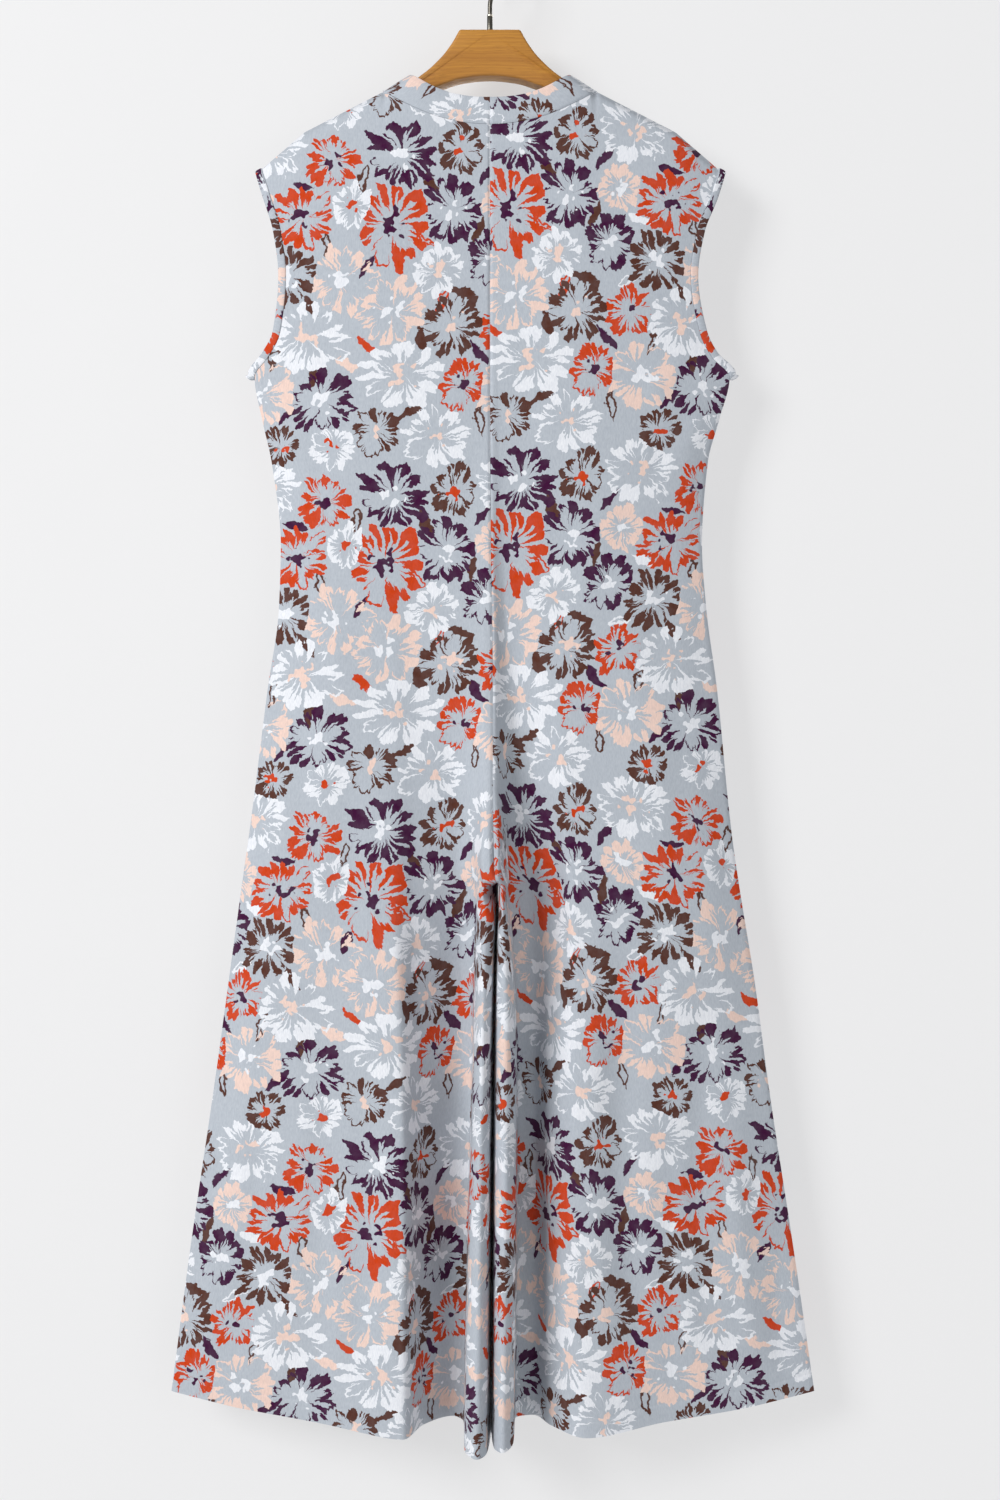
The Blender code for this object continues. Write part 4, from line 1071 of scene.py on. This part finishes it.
def build_wood_grain():
    """Node group: level growth lines with darker streaks and pores, for wood cut lengthwise."""
    graph, given, result = new_group(
        "Wood grain", (("Place", "NodeSocketVector"),),
        (("Growth", "NodeSocketFloat"), ("Pores", "NodeSocketFloat")),
    )
    bend = graph.noise(graph.vector("MULTIPLY", given[0], (9.0, 20.0, 20.0)), 1.0, 2.0)
    bend = graph.math("MULTIPLY", bend, 0.012)
    bowed = graph.vector("ADD", given[0], graph.add("ShaderNodeCombineXYZ", 0.0, 0.0, bend).outputs[0])
    lines = graph.noise(graph.vector("MULTIPLY", bowed, (5.0, 180.0, 430.0)), 1.0, 3.0)
    broad = graph.noise(graph.vector("MULTIPLY", bowed, (3.0, 40.0, 95.0)), 1.0, 2.0)
    growth = graph.math("MULTIPLY_ADD", lines, 0.6, graph.math("MULTIPLY", broad, 0.4))
    graph.feed(result[0], graph.range(growth, 0.36, 0.64))
    pores = graph.noise(graph.vector("MULTIPLY", bowed, (70.0, 900.0, 2000.0)), 1.0, 1.0)
    graph.feed(result[1], graph.range(pores, 0.60, 0.70))


def wood_material():
    """Honey-coloured wood with a satin lacquer."""
    look = settings().jumpsuit_hanger
    material, graph, shader = new_material("hanger_wood")
    place = graph.add("ShaderNodeTexCoord").outputs["Object"]
    grain = graph.group("Wood grain", Place=place)
    colour = graph.mix(grain.outputs["Growth"], tuple(look.wood_dark), tuple(look.wood_pale))
    pores = graph.math("MULTIPLY", grain.outputs["Pores"], 0.45)
    colour = graph.mix(pores, colour, shade(look.wood_dark, 0.55))
    graph.feed(shader.inputs["Base Color"], colour)
    graph.feed(shader.inputs["Roughness"], graph.range(grain.outputs["Growth"], 0.0, 1.0, 0.50, 0.38))
    shader.inputs["Coat Weight"].default_value = 0.22
    shader.inputs["Coat Roughness"].default_value = 0.22
    graph.feed(shader.inputs["Normal"], graph.bump(grain.outputs["Growth"], 0.25, 0.0003))
    return material


def metal_material(name, highlight_gain):
    """Plating with fine drawn lines and a little dulling; a highlight gain above one makes it brighter, a
    painted highlight, as on the swivel's ring.
    """
    look = settings().jumpsuit_hanger
    material, graph, shader = new_material(name)
    # the plating's colour times the highlight gain: above one, this is a painted highlight
    metal = shade(look.metal, highlight_gain)
    place = graph.add("ShaderNodeTexCoord").outputs["Object"]
    drawn = graph.noise(graph.vector("MULTIPLY", place, (2600.0, 2600.0, 120.0)), 1.0, 2.0)
    dull = graph.noise(place, 160.0, 3.0)
    colour = graph.mix(graph.range(dull, 0.35, 0.65), metal, shade(metal, 0.62))
    graph.feed(shader.inputs["Base Color"], colour)
    graph.feed(shader.inputs["Roughness"], graph.range(drawn, 0.3, 0.7, 0.26, 0.42))
    shader.inputs["Metallic"].default_value = 1.0
    graph.feed(shader.inputs["Normal"], graph.bump(drawn, 0.15, 0.0001))
    return material


def plain_material(name, colour, grain_scale):
    """A matt painted surface with a faint unevenness, for the stage."""
    material, graph, shader = new_material(name)
    place = graph.add("ShaderNodeTexCoord").outputs["Object"]
    grain = graph.noise(place, grain_scale, 3.0)
    graph.feed(shader.inputs["Base Color"], graph.mix(grain, shade(colour, 0.97), colour))
    graph.feed(shader.inputs["Roughness"], graph.range(grain, 0.3, 0.7, 0.75, 0.9))
    return material, graph, shader


# ================================================================ sewn parts
def made_material(name, make):
    """A material made once and shared by later pieces."""
    return bpy.data.materials.get(name) or make(name)


def cloth_pair():
    """The right side and the wrong side of the printed knit."""
    return (
        made_material("printed_knit", cloth_material),
        made_material("printed_knit_wrong_side", lambda name: cloth_material(name, True)),
    )


def panel_name(side, front):
    """A panel's name, as the frame's node has it."""
    return ("front_" if front else "back_") + side


def make_panel(side, front):
    """One of the four panels as a thin shell, shoulder to hem."""
    sizes = settings().jumpsuit_cloth
    points, flat, _ = panel_surface(side, front)
    node = panel_name(side, front)
    mesh = grid_mesh(node + "_cloth", points, flat)
    face_out(mesh, (0.0, 1.0 if front else -1.0, 0.0))
    piece = add_piece(node + "_cloth", mesh, cloth_pair())
    shell = piece.modifiers.new("thickness", "SOLIDIFY")
    shell.thickness = sizes.thickness
    shell.offset = -1.0
    shell.material_offset = 1
    apply_modifiers(piece)
    smooth_faces(piece, 60)
    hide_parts(node)


def neck_ring():
    """Feet and tips of the collar, once round the neck from the centre back, and which way is in."""
    arcs = []
    for side, front in (("left", False), ("left", True), ("right", True), ("right", False)):
        points, _, corner = panel_surface(side, front)
        feet = points[0, :corner + 1] / MM - TO_HOOK
        turn = turn_of(side)
        share = np.minimum(np.abs(feet[:, 0]) / abs(feet[-1, 0]), 1.0)
        turned_in = np.maximum(0.0, (share - COLLAR_TURN) / (1 - COLLAR_TURN))
        fold = np.sqrt(np.maximum(0.0, 1.0 - turned_in ** 2))
        side_drop = COLLAR_TOP_DROP - COLLAR_SIDE_RISE
        if front:
            drop = COLLAR_V_DROP + (side_drop - COLLAR_V_DROP) * share
            proud = COLLAR_FRONT_PROUD * fold
        else:
            drop = COLLAR_TOP_DROP - COLLAR_SIDE_RISE * share ** COLLAR_CURVE
            proud = -COLLAR_BACK_PROUD * fold
        tips = np.stack([turn * COLLAR_SIDE_REACH * share, proud, -drop], axis=1)
        pair = np.stack([feet, tips], axis=1)
        arcs.append(pair[::-1] if (side == "left") == front else pair)
    for arc, following in zip(arcs, arcs[1:] + arcs[:1]):
        following[0] = (arc[-1] + following[0]) / 2
    ring = np.concatenate([arc[:-1] for arc in arcs])
    feet, tips = ring[:, 0], ring[:, 1]
    up = unit(tips - feet)
    run = np.roll(feet, -1, axis=0) - np.roll(feet, 1, axis=0)
    inward = unit(np.cross(up, run))
    on_shoulder = np.abs(feet[:, 1]) <= TUCK
    outward = np.where(on_shoulder, inward[:, 2] > 0, inward[:, 1] * feet[:, 1] > 0)
    inward[outward] *= -1
    feet = feet + up * SEAM_GAP
    return (feet + TO_HOOK) * MM, (tips + TO_HOOK) * MM, softened(inward)


def make_collar():
    """The stand collar: a folded band round the whole neckline."""
    feet, tips, inward = neck_ring()
    mesh = band_mesh(
        "collar_band", feet, tips, inward, COLLAR_PRINT_START, COLLAR_BULGE * MM, 8)
    piece = add_piece("collar_band", mesh, cloth_pair())
    smooth_faces(piece, 75)
    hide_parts("collar")


def sideways(turn, pair):
    """A direction from its parts outward and up, for the side that the turn names."""
    return np.array((turn * pair[0], 0.0, pair[1]))


def armhole_ring(side):
    """Points round an armhole, the way off the cloth's edge there, and which way is in."""
    turn = turn_of(side)
    halves = []
    for front in (False, True):
        points, _, _ = panel_surface(side, front)
        rows = panel_rows(settings().jumpsuit_cloth.down_step / MM)
        last = int(np.searchsorted(rows, UNDERARM_ROW))
        edge = points[:last + 1, -1] / MM - TO_HOOK
        beside = points[:last + 1, SIDE_COLUMN] / MM - TO_HOOK
        run = unit(np.gradient(edge, axis=0))
        off = unit((edge - beside) - run * np.sum((edge - beside) * run, axis=1, keepdims=True))
        inward = np.cross(run, off)
        if inward[:, 1].sum() * (1 if front else -1) > 0:
            inward = -inward
        halves.append((edge, off, inward))
    (back, back_off, back_in), (front, front_off, front_in) = halves
    tip = (back[0] + front[0]) / 2
    under = (back[-1] + front[-1]) / 2 + sideways(turn, UNDERARM_OUT)
    ring = np.concatenate([[tip], back[1:], [under], front[:0:-1]])
    off = np.concatenate([
        [sideways(turn, TIP_OFF)], back_off[1:], [sideways(turn, UNDERARM_OFF)], front_off[:0:-1],
    ])
    inward = np.concatenate([
        [sideways(turn, TIP_IN)], back_in[1:], [sideways(turn, UNDERARM_IN)], front_in[:0:-1],
    ])
    off, inward = softened(off), softened(inward)
    inward = unit(inward - off * np.sum(inward * off, axis=1, keepdims=True))
    return (ring + TO_HOOK) * MM, off, inward


def make_binding(side):
    """A folded strip round an armhole."""
    ring, off, inward = armhole_ring(side)
    feet = ring - inward * BINDING_PROUD * MM + off * SEAM_GAP * MM
    tips = feet + off * (BINDING_WIDTH - SEAM_GAP) * MM
    name = "armhole_band_" + side
    mesh = band_mesh(name, feet, tips, inward, BINDING_PRINT_START, BINDING_BULGE * MM, 5)
    piece = add_piece(name, mesh, cloth_pair())
    smooth_faces(piece, 75)
    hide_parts("armhole_binding_" + side)


# ================================================================ stitches
def closed(ring):
    """A ring of points with its first point again at its end."""
    return np.concatenate([ring, ring[:1]])


def read_line(values, places, at):
    """Points or directions read from a line at each place along it."""
    return np.stack([np.interp(at, places, values[:, k]) for k in range(3)], axis=1)


def one_stitch():
    """Points and faces of one stitch lying along Z, drawn up in steps from its blunt end."""
    sizes = settings().jumpsuit_cloth
    radius, length = sizes.thread_radius, sizes.stitch_length
    taper = STITCH_TAPER * radius
    steps = ((taper, 1 / STITCH_BLUNT), (length, 1.0), (taper, STITCH_BLUNT))
    pattern = pull_up("stitch", STITCH_SIDES, radius * STITCH_BLUNT, -length / 2 - taper, steps)
    shape = np.array([vert.co[:] for vert in pattern.data.vertices])
    faces = [list(item.vertices) for item in pattern.data.polygons]
    bpy.data.objects.remove(pattern)
    return shape, faces


def stitch_row(name, line, normals, lift):
    """A row of stitches along a line: one short thread modelled once and copied along."""
    sizes = settings().jumpsuit_cloth
    shape, faces = one_stitch()
    # the ends of a stitch dive into the cloth
    half = sizes.stitch_length / 2
    dive = np.clip(np.abs(shape[:, 2]) / half, 0, 1.2) ** 2 * sizes.thread_radius * STITCH_DIVE
    spacing = sizes.stitch_length + sizes.stitch_gap
    places = np.concatenate([[0.0], np.cumsum(np.linalg.norm(np.diff(line, axis=0), axis=1))])
    at = np.arange(spacing / 2, places[-1], spacing)
    spots = read_line(line, places, at)
    along = unit(read_line(line, places, at + spacing * 0.1) - spots)
    up = unit(read_line(normals, places, at))
    verts, polygons = [], []
    for spot, run, out in zip(spots, along, up):
        side = unit(np.cross(run, out))
        base = len(verts)
        local = (
            spot + np.outer(shape[:, 2], run) + np.outer(shape[:, 0], side)
            + np.outer(shape[:, 1] - dive + lift, out)
        )
        verts += local.tolist()
        polygons += [[base + index for index in item] for item in faces]
    mesh = bpy.data.meshes.new(name)
    mesh.from_pydata(verts, [], polygons)
    piece = add_piece(name, mesh, [made_material("sewing_thread", thread_material)])
    smooth_faces(piece, 60)


def surface_normals(points, front):
    """Outward directions over a panel's outer face."""
    normals = unit(np.cross(np.gradient(points, axis=1), np.gradient(points, axis=0)))
    wrong = normals[:, :, 1].mean() * (1 if front else -1) < 0
    return -normals if wrong else normals


def make_hem_stitches():
    """The row of hem stitching round each leg."""
    sizes = settings().jumpsuit_cloth
    rows = panel_rows(sizes.down_step / MM)
    row = int(np.argmin(np.abs(rows - (HEM_ROW - sizes.hem_depth / MM))))
    lift = sizes.thread_radius * HEM_STITCH_LIFT
    for side in SIDES:
        for front in (False, True):
            points, _, _ = panel_surface(side, front)
            normals = surface_normals(points, front)
            name = "hem_stitches_" + panel_name(side, front)
            stitch_row(name, points[row, 1:-2], normals[row, 1:-2], lift)


def make_binding_stitches():
    """A row of stitches on each armhole band, beside its seam."""
    for side in SIDES:
        ring, off, inward = armhole_ring(side)
        proud = BINDING_PROUD + STITCH_PROUD["armhole"]
        line = ring - inward * proud * MM + off * STITCH_UP["armhole"] * MM
        stitch_row("armhole_stitches_" + side, closed(line), closed(-inward), 0.0)


def make_collar_stitches():
    """A row of stitches along the collar, just above its seam."""
    feet, tips, inward = neck_ring()
    line = feet + unit(tips - feet) * STITCH_UP["collar"] * MM - inward * STITCH_PROUD["collar"] * MM
    stitch_row("collar_stitches", closed(line), closed(-inward), 0.0)


# ================================================================ hanger
def fillet(points, radii):
    """An outline with its inner corners rounded, each to its own radius."""
    points = [Vector((x, y)) for x, y in points]
    rounded = [points[0]]
    for before, corner, after, radius in zip(points, points[1:], points[2:], radii):
        back = before - corner
        ahead = after - corner
        reach = min(radius, back.length * 0.45, ahead.length * 0.45)
        start = corner + back.normalized() * reach
        end = corner + ahead.normalized() * reach
        for step in range(WOOD_CORNER_STEPS + 1):
            t = step / WOOD_CORNER_STEPS
            rounded.append(start * (1 - t) ** 2 + corner * 2 * t * (1 - t) + end * t * t)
    return rounded + [points[-1]]


def wood_outline():
    """The wood's outline seen from the back: flat top, sloping arms and an arched underside."""
    half = fillet(WOOD_OUTLINE, [WOOD_CORNER] + [WOOD_BEND] * (len(WOOD_OUTLINE) - 3))
    return half + [Vector((-point.x, point.y)) for point in half[-2:0:-1]]


def make_wood():
    """The hanger's wooden body: an outline pulled to its thickness, rounded and thinned."""
    look = settings().jumpsuit_hanger
    outline = wood_outline()
    mesh = bpy.data.meshes.new("hanger_wood")
    bm = bmesh.new()
    ring = [bm.verts.new((p.x * MM, -look.half_thickness, -(p.y + HOOK_TO_WOOD) * MM)) for p in outline]
    bm.faces.new(ring)
    bm.to_mesh(mesh)
    bm.free()
    piece = add_piece("hanger_wood", mesh, [wood_material()])
    make_active(piece)
    bpy.ops.object.mode_set(mode="EDIT")
    bpy.ops.mesh.select_all(action="SELECT")
    deep = (0.0, 2 * look.half_thickness, 0.0)
    bpy.ops.mesh.extrude_region_move(TRANSFORM_OT_translate={"value": deep})
    bpy.ops.mesh.select_all(action="SELECT")
    bpy.ops.mesh.normals_make_consistent(inside=False)
    bpy.ops.object.mode_set(mode="OBJECT")
    rounding = piece.modifiers.new("rounding", "BEVEL")
    rounding.width = look.edge_rounding
    rounding.segments = 5
    rounding.limit_method = "ANGLE"
    rounding.angle_limit = math.radians(60)
    apply_modifiers(piece)
    for vert in piece.data.vertices:
        share = smooth_share((abs(vert.co.x) / MM - WOOD_THINS_FROM) / WOOD_THINS_OVER)
        vert.co.y *= 1 + share * (look.arm_half_thickness / look.half_thickness - 1)
    smooth_faces(piece, 40)
    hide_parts("hanger_body")


def make_hook():
    """The metal hook: a bent wire swept as a curve, standing in a turned sleeve."""
    look = settings().jumpsuit_hanger
    clear_selection()
    radius = look.hook_radius
    wood_top = -HOOK_TO_WOOD * MM
    centre = look.wire_radius - radius
    path = [(x * MM, wood_top + z * MM) for x, z in HOOK_STEM]
    for degrees in HOOK_BEND:
        angle = math.radians(degrees)
        path.append((radius * math.cos(angle), centre + radius * math.sin(angle)))
    curve = bpy.data.curves.new("hook_wire", "CURVE")
    curve.dimensions = "3D"
    curve.bevel_depth = look.wire_radius
    curve.bevel_resolution = 6
    curve.resolution_u = 3
    curve.use_fill_caps = True
    spline = curve.splines.new("NURBS")
    spline.points.add(len(path) - 1)
    for point, (x, z) in zip(spline.points, path):
        point.co = (x, 0.0, z, 1.0)
    spline.use_endpoint_u = True
    spline.order_u = 4
    piece = bpy.data.objects.new("hook_wire", curve)
    bpy.context.collection.objects.link(piece)
    make_active(piece)
    bpy.ops.object.convert(target="MESH")
    piece = bpy.context.object
    merge_doubles(piece)
    metal = metal_material("hook_metal", 1.0)
    piece.data.materials.clear()
    piece.data.materials.append(metal)
    smooth_faces(piece, 50)
    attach(piece, "root")
    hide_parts("hanger_hook")
    socket = turned_socket()
    socket.data.materials.append(metal)
    # the ring is real, but its plating at five times the brightness is a painted highlight on its rounded
    # shoulder
    socket.data.materials.append(metal_material("swivel_ring", 5.0))
    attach(socket, "root")


def merge_doubles(piece):
    """Merge a mesh's doubled points and face it outward."""
    make_active(piece)
    bpy.ops.object.mode_set(mode="EDIT")
    bpy.ops.mesh.select_all(action="SELECT")
    bpy.ops.mesh.remove_doubles(threshold=0.00002)
    bpy.ops.mesh.normals_make_consistent(inside=False)
    bpy.ops.object.mode_set(mode="OBJECT")


def turned_socket():
    """The sleeve the hook turns in: a disc pulled up in turned steps, with a ring on top whose plating
    carries a painted highlight.
    """
    foot = (SLEEVE_FOOT - HOOK_TO_WOOD) * MM
    steps = [(rise * MM, scale) for rise, scale in SLEEVE_STEPS]
    socket = pull_up("hook_socket", SLEEVE_SIDES, SLEEVE_RADIUS * MM, foot, steps)
    # faces of the top ring take the second material, a painted highlight
    for item in socket.data.polygons:
        item.material_index = int(item.center.z > foot + SLEEVE_RING * MM)
    smooth_faces(socket, 35)
    return socket


# ================================================================ stage
def add_light(name, place, target, size, power):
    """A soft square light turned to a target."""
    lamp = bpy.data.lights.new(name, "AREA")
    lamp.size = size
    lamp.energy = power
    light = bpy.data.objects.new(name, lamp)
    light.location = place
    light.rotation_euler = (Vector(target) - Vector(place)).to_track_quat("-Z", "Y").to_euler()
    bpy.context.collection.objects.link(light)


def make_backdrop():
    """A wall just behind the garment, grey but made pale by a glow of its own, which shows only from the
    garment's side, and a floor.
    """
    stage = settings().jumpsuit_stage
    clear_selection()
    bpy.ops.mesh.primitive_plane_add(size=1.0)
    wall = bpy.context.object
    wall.name = "wall"
    for vert in wall.data.vertices:
        z = -stage.floor_drop if vert.co.y < 0 else WALL_TOP
        vert.co = (math.copysign(WALL_REACH, vert.co.x), stage.wall_gap, z)
    material, graph, shader = plain_material("wall_paint", (0.27, 0.27, 0.272), 7.0)
    # the wall glows though it is no lamp: painted light that makes it pale and lifts the garment's shadow
    # on it
    shader.inputs["Emission Color"].default_value = (*stage.wall_glow, 1.0)
    shader.inputs["Emission Strength"].default_value = 1.0
    clear = graph.add("ShaderNodeBsdfTransparent")
    behind = graph.add("ShaderNodeNewGeometry").outputs["Backfacing"]
    blend = graph.add("ShaderNodeMixShader", behind, shader.outputs[0], clear.outputs[0])
    output = next(node for node in material.node_tree.nodes if node.type == "OUTPUT_MATERIAL")
    graph.feed(output.inputs["Surface"], blend.outputs[0])
    wall.data.materials.append(material)
    wall.visible_shadow = wall.visible_diffuse = wall.visible_glossy = False
    clear_selection()
    bpy.ops.mesh.primitive_plane_add(size=FLOOR_SIZE, location=(0.0, 0.0, -stage.floor_drop))
    floor = bpy.context.object
    floor.name = "floor"
    bpy.ops.object.transform_apply(location=True, rotation=True, scale=True)
    floor.data.materials.append(plain_material("floor_paint", (0.80, 0.80, 0.80), 3.0)[0])


def make_camera(middle):
    """A level camera square to the garment's back."""
    stage = settings().jumpsuit_stage
    camera = bpy.data.cameras.new("camera")
    camera.sensor_width = 36.0
    camera.lens = 36.0 * stage.camera_distance / stage.view_height
    holder = bpy.data.objects.new("camera", camera)
    holder.location = (middle.x, -stage.camera_distance, middle.z)
    holder.rotation_euler = (math.radians(90), 0.0, 0.0)
    bpy.context.collection.objects.link(holder)
    bpy.context.scene.camera = holder


# ================================================================ operators
class JUMPSUIT_OT_panels(bpy.types.Operator):
    """Make the four printed panels, shoulder to hem"""
    bl_idname = "jumpsuit.panels"
    bl_label = "Panels"

    def execute(self, context):
        for side, front in PANELS:
            make_panel(side, front)
        return {"FINISHED"}


class JUMPSUIT_OT_collar(bpy.types.Operator):
    """Make the stand collar"""
    bl_idname = "jumpsuit.collar"
    bl_label = "Collar"

    def execute(self, context):
        make_collar()
        return {"FINISHED"}


class JUMPSUIT_OT_bindings(bpy.types.Operator):
    """Make the bands round the armholes"""
    bl_idname = "jumpsuit.bindings"
    bl_label = "Armhole bands"

    def execute(self, context):
        for side in SIDES:
            make_binding(side)
        return {"FINISHED"}


class JUMPSUIT_OT_stitches(bpy.types.Operator):
    """Sew the rows of stitches on the hems, the armhole bands and the collar"""
    bl_idname = "jumpsuit.stitches"
    bl_label = "Stitches"

    def execute(self, context):
        make_hem_stitches()
        make_binding_stitches()
        make_collar_stitches()
        return {"FINISHED"}


class JUMPSUIT_OT_hanger(bpy.types.Operator):
    """Make the hanger's wooden body"""
    bl_idname = "jumpsuit.hanger"
    bl_label = "Hanger wood"

    def execute(self, context):
        make_wood()
        return {"FINISHED"}


class JUMPSUIT_OT_hook(bpy.types.Operator):
    """Make the hanger's metal hook and the sleeve it stands in"""
    bl_idname = "jumpsuit.hook"
    bl_label = "Hook"

    def execute(self, context):
        make_hook()
        return {"FINISHED"}


class JUMPSUIT_OT_stage(bpy.types.Operator):
    """Set the wall, the floor, the lights and the camera"""
    bl_idname = "jumpsuit.stage"
    bl_label = "Stage"

    def execute(self, context):
        stage = settings().jumpsuit_stage
        middle = Vector(VIEW_MIDDLE)
        make_backdrop()
        make_camera(middle)
        add_light("key_light", KEY_PLACE, middle, KEY_SIZE, stage.key_power)
        add_light("fill_light", FILL_PLACE, middle, FILL_SIZE, stage.fill_power)
        add_light("front_light", FRONT_PLACE, middle, FILL_SIZE, stage.front_power)
        world = bpy.data.worlds.new("studio")
        world.use_nodes = True
        background = world.node_tree.nodes["Background"]
        background.inputs["Color"].default_value = (*SKY_COLOUR, 1.0)
        background.inputs["Strength"].default_value = SKY_STRENGTH
        bpy.context.scene.world = world
        bpy.context.scene.view_settings.view_transform = "Standard"
        return {"FINISHED"}


OPERATORS = (
    JUMPSUIT_OT_panels, JUMPSUIT_OT_collar, JUMPSUIT_OT_bindings, JUMPSUIT_OT_stitches,
    JUMPSUIT_OT_hanger, JUMPSUIT_OT_hook, JUMPSUIT_OT_stage,
)
GROUPS = (
    ("jumpsuit_cloth", ClothSizes), ("jumpsuit_inks", PrintInks),
    ("jumpsuit_hanger", HangerLook), ("jumpsuit_stage", StageSizes),
)


class JUMPSUIT_PT_sidebar(bpy.types.Panel):
    """Lists the jumpsuit's settings and the steps that build it"""
    bl_idname = "JUMPSUIT_PT_sidebar"
    bl_label = "Jumpsuit"
    bl_space_type = "VIEW_3D"
    bl_region_type = "UI"
    bl_category = "Jumpsuit"

    def draw(self, context):
        for name, group in GROUPS:
            box = self.layout.box()
            box.label(text=group.__doc__)
            for key in group.__annotations__:
                box.prop(getattr(context.scene, name), key)
        for operator in OPERATORS:
            self.layout.operator(operator.bl_idname)


def register():
    """Register the settings, the operators and the sidebar panel."""
    for name, group in GROUPS:
        bpy.utils.register_class(group)
        setattr(bpy.types.Scene, name, PointerProperty(type=group))
    for operator in OPERATORS:
        bpy.utils.register_class(operator)
    bpy.utils.register_class(JUMPSUIT_PT_sidebar)


def unregister():
    """Take away everything register added."""
    bpy.utils.unregister_class(JUMPSUIT_PT_sidebar)
    for operator in reversed(OPERATORS):
        bpy.utils.unregister_class(operator)
    for name, group in reversed(GROUPS):
        delattr(bpy.types.Scene, name)
        bpy.utils.unregister_class(group)


def main():
    """Build every piece in order."""
    register()
    build_brush_flower()
    build_leaf_stroke()
    build_floral_print()
    build_knit_grain()
    build_wood_grain()
    bpy.ops.jumpsuit.panels()
    bpy.ops.jumpsuit.collar()
    bpy.ops.jumpsuit.bindings()
    bpy.ops.jumpsuit.stitches()
    bpy.ops.jumpsuit.hanger()
    bpy.ops.jumpsuit.hook()
    bpy.ops.jumpsuit.stage()


if __name__ == "__main__":
    main()
